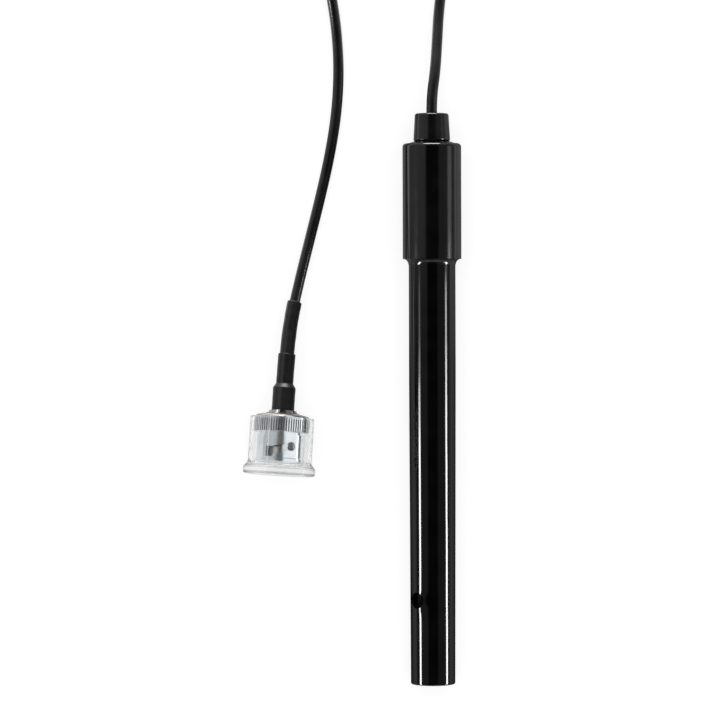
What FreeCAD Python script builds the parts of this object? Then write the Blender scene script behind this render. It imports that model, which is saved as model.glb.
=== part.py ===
"""Conductivity electrode with its lead, bayonet plug and clear dust cap.

The electrode lies on a surface, its cable end towards +Y. Z points up and the origin is under the
middle of the electrode. All lengths are in millimetres and all angles in degrees.
"""
import FreeCAD, Part
import math
import os
import re
import Sketcher

Vector = FreeCAD.Vector

# Driving dimensions. A height along the electrode counts from the tip, and a depth along the plug
# counts from the outer face of its dust cap towards the cable.
SIZES = {
    # Electrode shaft, a tube that is open at the tip
    "shaft_length": 111.0,
    "shaft_diameter": 12.2,
    "parallel_length": 30.0,
    "tip_diameter": 11.6,
    "shaft_bore": 9.2,
    "shaft_insertion": 24.0,
    "shaft_spigot": 11.6,
    "tip_round": 0.35,
    "vent_diameter": 4.2,
    "vent_height": 22.1,
    "vent_turn": 47.5,
    # Head, glued over the shaft
    "head_diameter": 15.3,
    "head_length": 30.1,
    "head_edge_round": 0.9,
    "head_root_round": 1.45,
    "head_lip_step": 0.1,
    "head_land": 0.55,
    "head_rise": 0.5,
    "head_cavity": 10.0,
    "head_top_wall": 2.6,
    "glue_gap": 0.05,
    # Cable gland
    "gland_length": 7.3,
    "gland_base": 9.6,
    "gland_mouth": 8.8,
    "gland_edge_round": 0.55,
    "gland_spigot": 5.0,
    "gland_spigot_length": 5.2,
    "gland_barb": 0.4,
    # Measuring cell inside the tip
    "holder_height": 27.0,
    "holder_length": 12.0,
    "holder_fit": 0.05,
    "finger_length": 19.0,
    "finger_width": 4.2,
    "finger_inset": 0.1,
    "plate_gap": 6.4,
    "plate_length": 9.5,
    "plate_width": 3.8,
    "plate_thickness": 0.3,
    "plate_setback": 8.6,
    "plate_lead": 0.5,
    "seal_section": 0.9,
    "seal_height": 33.0,
    "seal_squeeze": 0.1,
    "core_diameter": 1.1,
    "core_pitch": 1.5,
    "potting_depth": 13.0,
    "tail_insertion": 5.0,
    # Lead
    "cable_diameter": 2.8,
    "cable_fit": 0.05,
    "coil_x": -12.0,
    "coil_y": 128.0,
    "coil_radius": 15.4,
    "coil_side_low": 1.0,
    "coil_side_high": 1.96,
    "coil_shoulder": 2.94,
    "coil_crown": 2.24,
    "coil_bevel": 0.2,
    "coil_entry": -20.0,
    "coil_exit": 195.0,
    "tie_turn": 62.0,
    "tie_width": 2.6,
    "tie_thickness": 0.6,
    "tie_gap": 0.06,
    "tie_tail": 7.0,
    "tie_tail_diameter": 1.5,
    "tie_tail_height": 2.6,
    "tie_crown_drop": 0.24,
    # Plug: where it lies
    "plug_x": -40.1,
    "plug_y": -19.5,
    "plug_lean": 3.7,
    # Dust cap
    "cap_length": 14.8,
    "cap_wall": 1.0,
    "cap_grip": 0.05,
    "cap_end_wall": 1.7,
    "cap_flange": 18.8,
    "cap_flange_thickness": 1.75,
    "cap_flare": 1.35,
    "cap_flare_round": 0.9,
    "cap_edge_round": 0.45,
    "cap_rim_round": 0.22,
    # Coupling collar
    "collar_setback": 0.3,
    "collar_diameter": 14.5,
    "collar_bore": 9.9,
    "front_ring": 12.9,
    "front_ring_length": 1.9,
    "sleeve_diameter": 12.4,
    "sleeve_length": 6.3,
    "neck_groove": 11.6,
    "neck_groove_width": 0.6,
    "knurl_length": 4.5,
    "knurl_runout": 0.85,
    "knurl_depth": 0.3,
    "knurl_notch": 0.36,
    "knurl_overcut": 0.03,
    "knurl_chamfer": 0.25,
    "dome_length": 0.5,
    "dome_mouth": 9.4,
    "dome_round": 1.1,
    "rear_wall": 0.9,
    "lug_circle": 11.3,
    "lug_channel": 2.3,
    "ramp_start_turn": -25.6,
    "ramp_sweep": 52.3,
    "ramp_width": 1.8,
    "ramp_front": 3.7,
    "ramp_climb": 1.6,
    "ramp_depth": 3.23,
    "window_width": 1.9,
    "window_length": 2.6,
    "detent_diameter": 2.3,
    "detent_drop": 0.15,
    # Plug body and what it carries
    "collar_travel": 1.2,
    "running_gap": 0.06,
    "contact_setback": 1.0,
    "contact_diameter": 8.1,
    "contact_bore": 7.0,
    "contact_slit": 0.4,
    "contact_slit_length": 4.6,
    "flange_depth": 10.7,
    "flange_thickness": 1.3,
    "neck_diameter": 7.3,
    "stem_diameter": 3.8,
    "stem_length": 2.5,
    "insulator_length": 3.6,
    "insulator_wall": 0.4,
    "pin_bore": 2.6,
    "pin_diameter": 1.35,
    "pin_setback": 1.6,
    "pin_nose_length": 0.68,
    "pin_nose_round": 0.17,
    "ring_slack": 0.24,
    "gasket_thickness": 0.7,
    "wave_thickness": 0.3,
    "washer_thickness": 0.8,
    "ring_thickness": 0.6,
    "ring_seat_depth": 0.35,
    "ring_diameter": 8.6,
    "ferrule_diameter": 5.2,
    "ferrule_length": 5.9,
    # Shrink sleeves over the ferrule and the cable
    "outer_shrink_wall": 0.3,
    "outer_shrink_front": 16.75,
    "outer_shrink_taper": 1.1,
    "outer_shrink_end": 31.6,
    "inner_shrink_wall": 0.45,
    "inner_shrink_end": 45.2,
}
COUNTS = {
    "coil_strands": 4,
    "coil_rows": 3,
    "knurl_teeth": 72,
    "ramp_count": 2,
    "slit_pairs": 2,
    "wave_count": 3,
    "wave_sections": 24,
}

# Values that follow from the driving dimensions
PLACES = {
    "head_top": "shaft_length + head_length",
    "gland_foot": "head_top + head_rise",
    "gland_end": "gland_foot + gland_length",
    "electrode_tilt": "atan((head_diameter - tip_diameter) / 2 / shaft_length)",
    "tip_y": "-gland_end / 2 * cos(electrode_tilt)",
    "tip_z": "tip_diameter / 2 * cos(electrode_tilt)",
    "shaft_end": "shaft_length + shaft_insertion",
    "parallel_foot": "shaft_length - parallel_length",
    "head_rim": "shaft_length - head_root_round",
    "head_socket": "shaft_spigot / 2 + glue_gap",
    "head_lip": "shaft_diameter / 2 + head_lip_step",
    "head_shoulder": "head_diameter / 2 - head_edge_round - head_land",
    "cavity_top": "head_top - head_top_wall",
    "cable_hole": "cable_diameter / 2 + cable_fit",
    "gland_hole": "gland_spigot / 2 + glue_gap",
    "holder_end": "holder_height + holder_length",
    "finger_foot": "holder_height - finger_length",
    "holder_radius": "shaft_bore / 2 - holder_fit",
    "finger_radius": "holder_radius - finger_inset",
    "finger_face": "plate_gap / 2 + plate_thickness",
    "lead_offset": "finger_face - plate_lead / 2",
    "seal_radius": "holder_radius - seal_section / 2 + seal_squeeze / 2",
    "potting_height": "shaft_end - potting_depth",
    "tail_height": "shaft_end - tail_insertion",
    "core_lean": "atan((lead_offset - core_pitch / 2) / (tail_height - holder_end))",
    "core_length": "(tail_height - holder_end) / cos(core_lean)",
    "ring_pitch": "cable_diameter * sqrt(3) / 2",
    "coil_top": "cable_diameter + (coil_rows - 1) * ring_pitch",
    "coil_half": "coil_strands * cable_diameter / 2",
    "coil_foot": "(coil_strands - 1) * cable_diameter / 2",
    "outer_turn": "coil_radius + coil_foot",
    "inner_exit_turn": "coil_radius + cable_diameter",
    "cap_body": "collar_diameter / 2 + cap_grip + cap_wall",
    "cap_bore": "collar_diameter / 2 + cap_grip",
    "cap_heel": "cap_length - cap_rim_round",
    "plug_tilt": "atan((cap_flange / 2 - cap_body) / (cap_heel - cap_flange_thickness))",
    "plug_z": "cap_flange / 2 * cos(plug_tilt) + cap_flange_thickness * sin(plug_tilt)",
    "collar_front": "cap_end_wall + collar_setback",
    "ring_end": "collar_front + front_ring_length",
    "groove_start": "ring_end + sleeve_length",
    "knurl_start": "groove_start + neck_groove_width",
    "knurl_end": "knurl_start + knurl_length",
    "collar_end": "knurl_end + dome_length",
    "ring_seat": "ring_face - running_gap",
    "flange_back": "flange_depth + flange_thickness",
    "wave_height": "collar_travel / 2 + running_gap",
    "wave_front": "flange_back + wave_thickness / 2 + wave_height",
    "wave_back": "flange_back + wave_thickness + 2 * wave_height",
    "washer_back": "wave_back + washer_thickness",
    "chamber_back": "washer_back + running_gap",
    "seat_floor": "chamber_back + rear_wall",
    "ring_face": "seat_floor + running_gap",
    "ring_back": "ring_face + ring_thickness",
    "neck_end": "ring_back + ring_thickness",
    "stem_end": "neck_end + stem_length",
    "contact_front": "collar_front + contact_setback",
    "pin_front": "collar_front + pin_setback",
    "insulator_front": "insulator_back - insulator_length",
    "insulator_back": "flange_back + insulator_wall",
    "ferrule_front": "neck_end + glue_gap",
    "ferrule_end": "ferrule_front + ferrule_length",
    "stem_radius": "stem_diameter / 2",
    "shrink_inner": "ferrule_diameter / 2 + glue_gap",
    "sleeve_outer": "cable_hole + inner_shrink_wall",
    "sleeve_start": "ferrule_end + glue_gap",
    "taper_start": "ferrule_end + glue_gap",
    "taper_end": "taper_start + outer_shrink_taper",
    "ramp_start": "ramp_front + collar_front",
    "ramp_pitch": "ramp_climb * 360 / ramp_sweep",
    "detent_depth": "ramp_start + ramp_climb - detent_drop",
    "detent_turn": "ramp_start_turn + ramp_sweep",
}

# Points that the lead follows between the gland and the coil, and between the coil and the plug.
# The points at the gland, the coil and the plug are worked out from those.
LEAD_FROM_GLAND = ((1.0, 85.6, 7.25), (1.55, 93.6, 4.3), (2.1, 102.2, 1.75), (3.6, 113.4, 1.4))
LEAD_TO_PLUG = (
    (-27.8, 115.4, 4.5), (-26.2, 106.6, 2.7), (-24.75, 97.6, 1.4), (-23.95, 86.6, 1.4),
    (-24.5, 75.6, 1.4), (-26.35, 64.6, 1.4), (-29.05, 53.6, 1.4), (-31.9, 42.6, 1.75),
    (-34.45, 31.8, 3.55), (-36.75, 21.0, 5.55),
)
LEAD_STUB = 4.4
PLUG_RUN = 10.5
ARC_SHARE = 0.45

# Least change of volume that shows that a cut or a fillet was made, in cubic millimetres
VOLUME_CHANGE = 1e-3

doc = FreeCAD.newDocument("ConductivityElectrode")
sheet = doc.addObject("Spreadsheet::Sheet", "Sizes")
nodes = []


def fill_sheet():
    """Writes every driving dimension and count to the sheet as a plain number with an alias."""
    for row, (alias, amount) in enumerate({**SIZES, **COUNTS}.items(), 1):
        sheet.set(f"A{row}", alias)
        sheet.set(f"B{row}", str(amount))
        sheet.setAlias(f"B{row}", alias)
    doc.recompute()


def formula(text):
    """Writes a formula in plain names as one that reads the cells of the sheet."""
    def replaced(found):
        word = found.group(0)
        if word in PLACES:
            return "(" + formula(PLACES[word]) + ")"
        if word in SIZES or word in COUNTS:
            return "Sizes." + word
        return word
    return re.sub(r"[a-z][a-z_]*", replaced, text)


def number(text):
    """Works a formula out as a plain number, angles in degrees."""
    result = sheet.evalExpression(formula(text))
    return float(getattr(result, "Value", result))


ON_ELECTRODE = (
    "placement(vector(0; tip_y; tip_z); rotation(vector(1; 0; 0); electrode_tilt - 90 deg))"
)
ON_PLUG = (
    "placement(vector(plug_x; plug_y; plug_z); rotation(vector(0; 0; 1); -plug_lean))"
    " * placement(vector(0; 0; 0); rotation(vector(1; 0; 0); -90 deg - plug_tilt))"
)
ON_COIL = "placement(vector(coil_x; coil_y; 0); rotation(vector(0; 0; 1); 0))"


def new_body(label, place):
    """Makes a body for one piece and puts it where it belongs."""
    body = doc.addObject("PartDesign::Body", label)
    body.Label = label
    body.setExpression("Placement", formula(place))
    nodes.append(body)
    return body


def new_sketch(body, name, role, offset=None):
    """Attaches a sketch to an origin plane of its own body."""
    sketch = body.newObject("Sketcher::SketchObject", name)
    plane = next(f for f in body.Origin.OriginFeatures if f.Role == role)
    sketch.AttachmentSupport = (plane, "")
    sketch.MapMode = "FlatFace"
    if offset:
        sketch.setExpression("AttachmentOffset", formula(offset))
    return sketch


def tie_point(sketch, index, place, across, up):
    """Ties a point of the sketch to the sheet, by its distances from the sketch's origin."""
    for kind, text, axis in (("DistanceX", across, -2), ("DistanceY", up, -1)):
        if text == "0":
            sketch.addConstraint(Sketcher.Constraint("PointOnObject", index, place, axis))
            continue
        name = f"{kind.lower()}_{index}_{place}"
        at = sketch.addConstraint(
            Sketcher.Constraint(kind, -1, 1, index, place, number(text))
        )
        sketch.renameConstraint(at, name)
        sketch.setExpression(f"Constraints.{name}", formula(text))


def outline(sketch, corners):
    """Draws one closed outline with straight sides through corners given as formulas."""
    first = sketch.GeometryCount
    spots = [Vector(number(across), number(up), 0) for across, up in corners]
    for i, spot in enumerate(spots):
        following = spots[(i + 1) % len(spots)]
        sketch.addGeometry(Part.LineSegment(spot, following), False)
    for i in range(len(spots)):
        following = first + (i + 1) % len(spots)
        sketch.addConstraint(Sketcher.Constraint("Coincident", first + i, 2, following, 1))
    for i, (across, up) in enumerate(corners):
        tie_point(sketch, first + i, 1, across, up)
    return sketch


def circle(sketch, across, up, diameter):
    """Draws a circle with a bound centre and diameter."""
    centre = Vector(number(across), number(up), 0)
    index = sketch.GeometryCount
    sketch.addGeometry(Part.Circle(centre, Vector(0, 0, 1), number(diameter) / 2), False)
    tie_point(sketch, index, 3, across, up)
    name = f"diameter_{index}"
    at = sketch.addConstraint(Sketcher.Constraint("Diameter", index, number(diameter)))
    sketch.renameConstraint(at, name)
    sketch.setExpression(f"Constraints.{name}", formula(diameter))
    return sketch


def rectangle(sketch, across, up, width, height):
    """Draws a rectangle about a centre."""
    left = f"{across} - ({width}) / 2"
    right = f"{across} + ({width}) / 2"
    low = f"{up} - ({height}) / 2"
    high = f"{up} + ({height}) / 2"
    return outline(sketch, ((left, low), (right, low), (right, high), (left, high)))


def turned(label, place, corners):
    """Turns an outline of radius and height about the piece's own long axis."""
    body = new_body(label, place)
    sketch = outline(new_sketch(body, label + "_outline", "XZ_Plane"), corners)
    turn = body.newObject("PartDesign::Revolution", label + "_turn")
    turn.Profile = sketch
    turn.ReferenceAxis = (sketch, ["V_Axis"])
    turn.Angle = 360
    doc.recompute()
    return body


def pocket(body, sketch, depth=None, upward=True):
    """Cuts a sketch through the whole body, or to a depth on one side of the sketch."""
    cut = body.newObject("PartDesign::Pocket", sketch.Name + "_cut")
    cut.Profile = sketch
    if depth is None:
        cut.SideType = "Symmetric"
        cut.Type = "ThroughAll"
    else:
        cut.Reversed = upward
        cut.setExpression("Length", formula(depth))
    doc.recompute()
    return cut


def repeated(body, feature, count, angle="360"):
    """Repeats a feature about the body's long axis."""
    pattern = body.newObject("PartDesign::PolarPattern", feature.Name + "_pattern")
    pattern.Originals = [feature]
    axis = next(f for f in body.Origin.OriginFeatures if f.Role == "Z_Axis")
    pattern.Axis = (axis, [""])
    pattern.setExpression("Angle", formula(angle))
    pattern.setExpression("Occurrences", formula(count))
    body.Tip = pattern
    doc.recompute()
    return pattern


def circles_at(shape, radius, height):
    """Names the round edges of a turned shape at a radius and a height on its own axis."""
    found = []
    for i, edge in enumerate(shape.Edges, 1):
        curve = edge.Curve
        if not isinstance(curve, Part.Circle):
            continue
        near_radius = abs(curve.Radius - number(radius)) < 1e-4
        if near_radius and abs(curve.Center.z - number(height)) < 1e-4:
            found.append(f"Edge{i}")
    return found


def rounded(body, name, places, radius):
    """Rounds the circular edges at the given radii and heights."""
    base = body.Tip
    edges = [e for place in places for e in circles_at(base.Shape, *place)]
    if len(edges) < len(places):
        raise RuntimeError(f"{body.Label}: an edge to round wasn't found")
    fillet = body.newObject("PartDesign::Fillet", name)
    fillet.Base = (base, edges)
    fillet.setExpression("Radius", formula(radius))
    body.Tip = fillet
    doc.recompute()
    return fillet


def make_shaft():
    """A drafted tube with an open tip, a vent across its cell and a spigot for the head."""
    bore, foot, spigot = "shaft_bore / 2", "tip_diameter / 2", "shaft_spigot / 2"
    body = turned("shaft_tube", ON_ELECTRODE, (
        (bore, "0"), (foot, "0"), ("shaft_diameter / 2", "parallel_foot"),
        ("shaft_diameter / 2", "head_rim"), (spigot, "head_rim"), (spigot, "shaft_end"),
        (bore, "shaft_end"),
    ))
    rounded(body, "tip_edges", ((foot, "0"), (bore, "0")), "tip_round")
    vent = new_sketch(
        body, "vent", "XZ_Plane", "placement(vector(0; 0; 0); rotation(vector(0; 1; 0); -vent_turn))"
    )
    pocket(body, circle(vent, "0", "vent_height", "vent_diameter"))


def make_head():
    """The handle, with a hollow lip that runs out onto the shaft and a socket for its end."""
    socket, cavity, outer = "head_socket", "head_cavity / 2", "head_diameter / 2"
    body = turned("head", ON_ELECTRODE, (
        (socket, "head_rim"), (outer, "head_rim"), (outer, "head_top"),
        ("head_shoulder", "head_top"), ("gland_base / 2", "gland_foot"),
        ("gland_hole", "gland_foot"), ("gland_hole", "cavity_top"), (cavity, "cavity_top"),
        (cavity, "shaft_end"), (socket, "shaft_end"),
    ))
    hollow = body.newObject("PartDesign::Groove", "root_hollow")
    section = root_outline(body)
    hollow.Profile = section
    hollow.ReferenceAxis = (section, ["V_Axis"])
    hollow.Angle = 360
    doc.recompute()
    rounded(body, "head_edge", ((outer, "head_top"),), "head_edge_round")


def root_outline(body):
    """The outline that leaves the head's lower edge as a hollow quarter round onto the shaft."""
    sketch = new_sketch(body, "root_outline", "XZ_Plane")
    lip, rim, face = "head_lip", "head_rim", "shaft_length"
    corners = (
        (f"{lip} + head_root_round", face), ("head_diameter / 2 + head_root_round", face),
        ("head_diameter / 2 + head_root_round", rim), (lip, rim),
    )
    spots = [Vector(number(across), number(up), 0) for across, up in corners]
    centre = Vector(spots[0].x, spots[3].y, 0)
    quarter = Part.Circle(centre, Vector(0, 0, 1), number("head_root_round"))
    sketch.addGeometry(Part.ArcOfCircle(quarter, math.pi / 2, math.pi), False)
    for i in range(3):
        sketch.addGeometry(Part.LineSegment(spots[i], spots[i + 1]), False)
    for join in ((0, 1, 1, 1), (1, 2, 2, 1), (2, 2, 3, 1), (3, 2, 0, 2)):
        sketch.addConstraint(Sketcher.Constraint("Coincident", *join))
    for i in range(3):
        tie_point(sketch, i + 1, 1, *corners[i])
    tie_point(sketch, 3, 2, *corners[3])
    name = "hollow_radius"
    at = sketch.addConstraint(Sketcher.Constraint("Radius", 0, number("head_root_round")))
    sketch.renameConstraint(at, name)
    sketch.setExpression(f"Constraints.{name}", formula("head_root_round"))
    return sketch


def make_gland():
    """The tapered cable gland, with a barbed spigot in the head's top wall."""
    base, mouth, spigot = "gland_base / 2", "gland_mouth / 2", "gland_spigot / 2"
    foot = "gland_foot - gland_spigot_length"
    barb = "cavity_top - gland_barb"
    body = turned("cable_gland", ON_ELECTRODE, (
        ("cable_hole", foot), ("gland_spigot / 2 - gland_barb", foot),
        ("gland_spigot / 2 + gland_barb", barb), (spigot, barb), (spigot, "gland_foot"),
        (base, "gland_foot"), (mouth, "gland_end"), ("cable_hole", "gland_end"),
    ))
    rounded(body, "knob_edges", ((base, "gland_foot"), (mouth, "gland_end")), "gland_edge_round")


def make_cell_holder():
    """The moulded insert that closes the cell, with two fingers that carry the plates."""
    wide, slim, foot = "holder_radius", "finger_radius", "finger_foot"
    groove_low, groove_high = "seal_height - seal_section / 2", "seal_height + seal_section / 2"
    floor = "seal_radius - seal_section / 2"
    body = turned("cell_holder", ON_ELECTRODE, (
        ("0", foot), (slim, foot), (slim, "holder_height"), (wide, "holder_height"),
        (wide, groove_low), (floor, groove_low), (floor, groove_high), (wide, groove_high),
        (wide, "holder_end"), ("0", "holder_end"),
    ))
    turn = "placement(vector(0; 0; finger_foot); rotation(vector(0; 0; 1); -vent_turn))"
    slot = rectangle(
        new_sketch(body, "finger_slot", "XY_Plane", turn), "0", "0", "2 * finger_face", "shaft_bore"
    )
    pocket(body, slot, "finger_length")
    for name, side in (("front_flat", "-1"), ("back_flat", "1")):
        middle = f"{side} * (finger_width / 2 + shaft_bore / 2)"
        flat = new_sketch(body, name, "XY_Plane", turn)
        rectangle(flat, "0", middle, "2 * shaft_bore", "shaft_bore")
        pocket(body, flat, "finger_length")
    bores = new_sketch(body, "lead_bores", "XY_Plane", turn)
    for side in ("-1", "1"):
        circle(bores, f"{side} * lead_offset", "0", "plate_lead + 2 * holder_fit")
    pocket(body, bores, "finger_length + holder_length")


def make_plate(label, side):
    """One platinised plate, welded to the lead that runs up through the holder."""
    turn = "-vent_turn" if side == "1" else "180 - vent_turn"
    place = f"{ON_ELECTRODE} * placement(vector(0; 0; 0); rotation(vector(0; 0; 1); {turn}))"
    body = new_body(label, place)
    lift = "placement(vector(0; 0; plate_setback); rotation(vector(0; 0; 1); 0))"
    sheet_sketch = new_sketch(body, label + "_section", "XY_Plane", lift)
    rectangle(sheet_sketch, "finger_face - plate_thickness / 2", "0", "plate_thickness", "plate_width")
    pad(body, sheet_sketch, "plate_length")
    wire = new_sketch(body, label + "_wire", "XY_Plane", lift)
    circle(wire, "lead_offset", "0", "plate_lead")
    pad(body, wire, "holder_end - plate_setback")


def pad(body, sketch, length, midplane=False):
    """Raises a solid from a sketch."""
    raised = body.newObject("PartDesign::Pad", sketch.Name + "_pad")
    raised.Profile = sketch
    raised.setExpression("Length", formula(length))
    if midplane:
        raised.SideType = "Symmetric"
    body.Tip = raised
    doc.recompute()
    return raised


def make_seal():
    """The O-ring between the holder and the shaft."""
    body = new_body("cell_seal", ON_ELECTRODE)
    sketch = circle(
        new_sketch(body, "seal_section_circle", "XZ_Plane"), "seal_radius", "seal_height",
        "seal_section - seal_squeeze",
    )
    turn = body.newObject("PartDesign::Revolution", "seal_turn")
    turn.Profile = sketch
    turn.ReferenceAxis = (sketch, ["V_Axis"])
    turn.Angle = 360
    doc.recompute()


def make_core(label, side):
    """One insulated core, from a plate's lead up to the end of the cable's jacket."""
    lean = "-core_lean" if side == "1" else "core_lean"
    place = (
        f"{ON_ELECTRODE} * placement(vector(0; 0; 0); rotation(vector(0; 0; 1); -vent_turn))"
        f" * placement(vector({side} * lead_offset; 0; holder_end); rotation(vector(0; 1; 0); {lean}))"
    )
    body = new_body(label, place)
    section = circle(new_sketch(body, label + "_section", "XY_Plane"), "0", "0", "core_diameter")
    pad(body, section, "core_length")
    return body


def make_cable_tail():
    """The end of the cable's jacket, held in the gland and the potting."""
    radius = "cable_diameter / 2"
    return turned("cable_tail", ON_ELECTRODE, (
        ("0", "tail_height"), (radius, "tail_height"), (radius, "gland_end"), ("0", "gland_end"),
    ))


def make_potting(held):
    """The resin that fills the top of the shaft round the cable and its cores."""
    block = doc.addObject("Part::Cylinder", "potting_block")
    block.setExpression("Radius", formula("shaft_bore / 2 - holder_fit"))
    block.setExpression("Height", formula("shaft_end - potting_height"))
    block.setExpression("Placement", formula(
        f"{ON_ELECTRODE} * placement(vector(0; 0; potting_height); rotation(vector(0; 0; 1); 0))"
    ))
    shape = block
    for i, piece in enumerate(held):
        cut = doc.addObject("Part::Cut", f"potting_cut_{i}")
        cut.Base = shape
        cut.Tool = piece
        shape = cut
    shape.Label = "potting"
    nodes.append(shape)
    doc.recompute()


def make_coil():
    """The outer shape of the coiled length of the lead, with a notch where its tie passes under."""
    place = f"{ON_COIL} * placement(vector(0; 0; 0); rotation(vector(0; 0; 1); tie_turn))"
    right, left = "coil_radius + ", "coil_radius - "
    half = (
        ("coil_foot", "0"), ("coil_half", "coil_side_low"), ("coil_half", "coil_side_high"),
        ("coil_shoulder", "coil_top - coil_bevel"), ("coil_crown", "coil_top"),
    )
    corners = [(right + across, up) for across, up in half]
    corners += [(left + across, up) for across, up in reversed(half)]
    body = turned("cable_coil", place, corners)
    notch = new_sketch(body, "tie_notch", "XZ_Plane")
    rectangle(notch, "coil_radius", "0", "3 * coil_half", "2 * (tie_thickness + tie_gap)")
    cut = body.newObject("PartDesign::Pocket", "tie_notch_cut")
    cut.Profile = notch
    cut.SideType = "Symmetric"
    cut.setExpression("Length", formula("tie_width + 2 * tie_gap"))
    doc.recompute()


def make_tie():
    """The twist tie round the coil: a flat band with its two ends twisted together."""
    place = f"{ON_COIL} * placement(vector(0; 0; 0); rotation(vector(0; 0; 1); tie_turn))"
    body = new_body("coil_tie", place)
    band = new_sketch(body, "tie_band", "XZ_Plane")
    wall = "tie_gap + tie_thickness"
    inside = (
        ("coil_half + tie_gap", "tie_thickness"),
        ("coil_half + tie_gap", "coil_side_high + tie_gap"),
        ("coil_shoulder + tie_gap", "coil_top + tie_gap"),
    )
    outside = (
        (f"coil_half + {wall}", "0"), (f"coil_half + {wall}", "coil_side_high + 2 * tie_gap"),
        (f"coil_shoulder + {wall} - tie_crown_drop", f"coil_top + {wall}"),
    )
    for loop in (outside, inside):
        corners = [("coil_radius + " + across, up) for across, up in loop]
        corners += [("coil_radius - (" + across + ")", up) for across, up in reversed(loop)]
        outline(band, corners)
    pad(body, band, "tie_width", midplane=True)
    start = "coil_radius + coil_half + tie_gap + tie_thickness / 2"
    tail = new_sketch(
        body, "tie_tail_section", "YZ_Plane",
        f"placement(vector(0; 0; {start}); rotation(vector(0; 0; 1); 0))",
    )
    circle(tail, "0", "tie_tail_height", "tie_tail_diameter")
    pad(body, tail, "tie_tail")


def make_collar():
    """The bayonet coupling collar, with its knurl, its domed back and its two cam slots."""
    bore, mouth, knurl = "collar_bore / 2", "dome_mouth / 2", "collar_diameter / 2"
    sleeve, groove, ring = "sleeve_diameter / 2", "neck_groove / 2", "front_ring / 2"
    hole = "neck_diameter / 2 + running_gap"
    step = "(front_ring - sleeve_diameter) / 2"
    body = turned("coupling_collar", ON_PLUG, (
        (bore, "collar_front"), (f"{ring} - knurl_chamfer", "collar_front"),
        (ring, "collar_front + knurl_chamfer"), (ring, "ring_end"), (sleeve, f"ring_end + {step}"),
        (sleeve, "groove_start"), (groove, "groove_start"), (groove, "knurl_start"),
        (f"{knurl} - knurl_chamfer", "knurl_start"), (knurl, "knurl_start + knurl_chamfer"),
        (knurl, "knurl_end"), (mouth, "collar_end"), (mouth, "seat_floor"), (hole, "seat_floor"),
        (hole, "chamber_back"), (bore, "chamber_back"),
    ))
    rounded(body, "dome_edge", ((knurl, "knurl_end"),), "dome_round")
    cut_knurl(body)
    cut_cam_slots(body)


def cut_knurl(body):
    """Cuts one V notch along the grip and repeats it all the way round."""
    knurl, half = "collar_diameter / 2", "knurl_notch / 2"
    lift = "placement(vector(0; 0; knurl_start); rotation(vector(0; 0; 1); 0))"
    notch = outline(new_sketch(body, "knurl_notch", "XY_Plane", lift), (
        (f"{knurl} - knurl_depth", "0"), (f"{knurl} + knurl_overcut", half),
        (f"{knurl} + knurl_overcut", f"-{half}"),
    ))
    repeated(body, pocket(body, notch, "knurl_length - knurl_runout"), "knurl_teeth")


def cut_cam_slots(body):
    """Cuts the lug channels, entry windows, helical ramps and detent holes."""
    entry = "-90 + ramp_start_turn"
    channel = new_sketch(
        body, "lug_channels", "XY_Plane",
        f"placement(vector(0; 0; collar_front); rotation(vector(0; 0; 1); {entry}))",
    )
    rectangle(channel, "0", "0", "lug_circle", "lug_channel")
    pocket(body, channel, "ramp_front + ramp_width / 2")
    section = new_sketch(
        body, "ramp_section", "XZ_Plane",
        f"placement(vector(0; 0; 0); rotation(vector(0; 1; 0); {entry}))",
    )
    middle = "(collar_bore + sleeve_diameter) / 4"
    rectangle(section, middle, "ramp_start", "ramp_depth", "ramp_width")
    ramp = body.newObject("PartDesign::SubtractiveHelix", "ramp")
    ramp.Profile = section
    ramp.ReferenceAxis = (section, ["V_Axis"])
    ramp.Mode = "pitch-height-angle"
    ramp.setExpression("Pitch", formula("ramp_pitch"))
    ramp.setExpression("Height", formula("ramp_climb"))
    doc.recompute()
    repeated(body, ramp, "ramp_count")
    windows = new_sketch(
        body, "entry_windows", "XZ_Plane",
        "placement(vector(0; 0; 0); rotation(vector(0; 1; 0); ramp_start_turn))",
    )
    rectangle(windows, "0", "ramp_start", "window_width", "window_length")
    pocket(body, windows)
    detents = new_sketch(
        body, "detent_holes", "XZ_Plane",
        "placement(vector(0; 0; 0); rotation(vector(0; 1; 0); detent_turn))",
    )
    pocket(body, circle(detents, "0", "detent_depth", "detent_diameter"))


def make_dust_cap():
    """The clear push-on cap: a cup with a flange round its closed end."""
    body_radius, bore, flange = "cap_body", "cap_bore", "cap_flange / 2"
    flare_end = "cap_flange_thickness + cap_flare"
    body = turned("dust_cap", ON_PLUG, (
        ("0", "0"), (flange, "0"), (flange, "cap_flange_thickness"), (body_radius, flare_end),
        (body_radius, "cap_length"), (bore, "cap_length"), (bore, "cap_end_wall"),
        ("0", "cap_end_wall"),
    ))
    rounded(body, "cap_flare_root", ((body_radius, flare_end),), "cap_flare_round")
    rounded(body, "cap_edges", (
        (flange, "0"), (flange, "cap_flange_thickness"),
    ), "cap_edge_round")
    rounded(body, "cap_rim", ((body_radius, "cap_length"),), "cap_rim_round")


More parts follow.
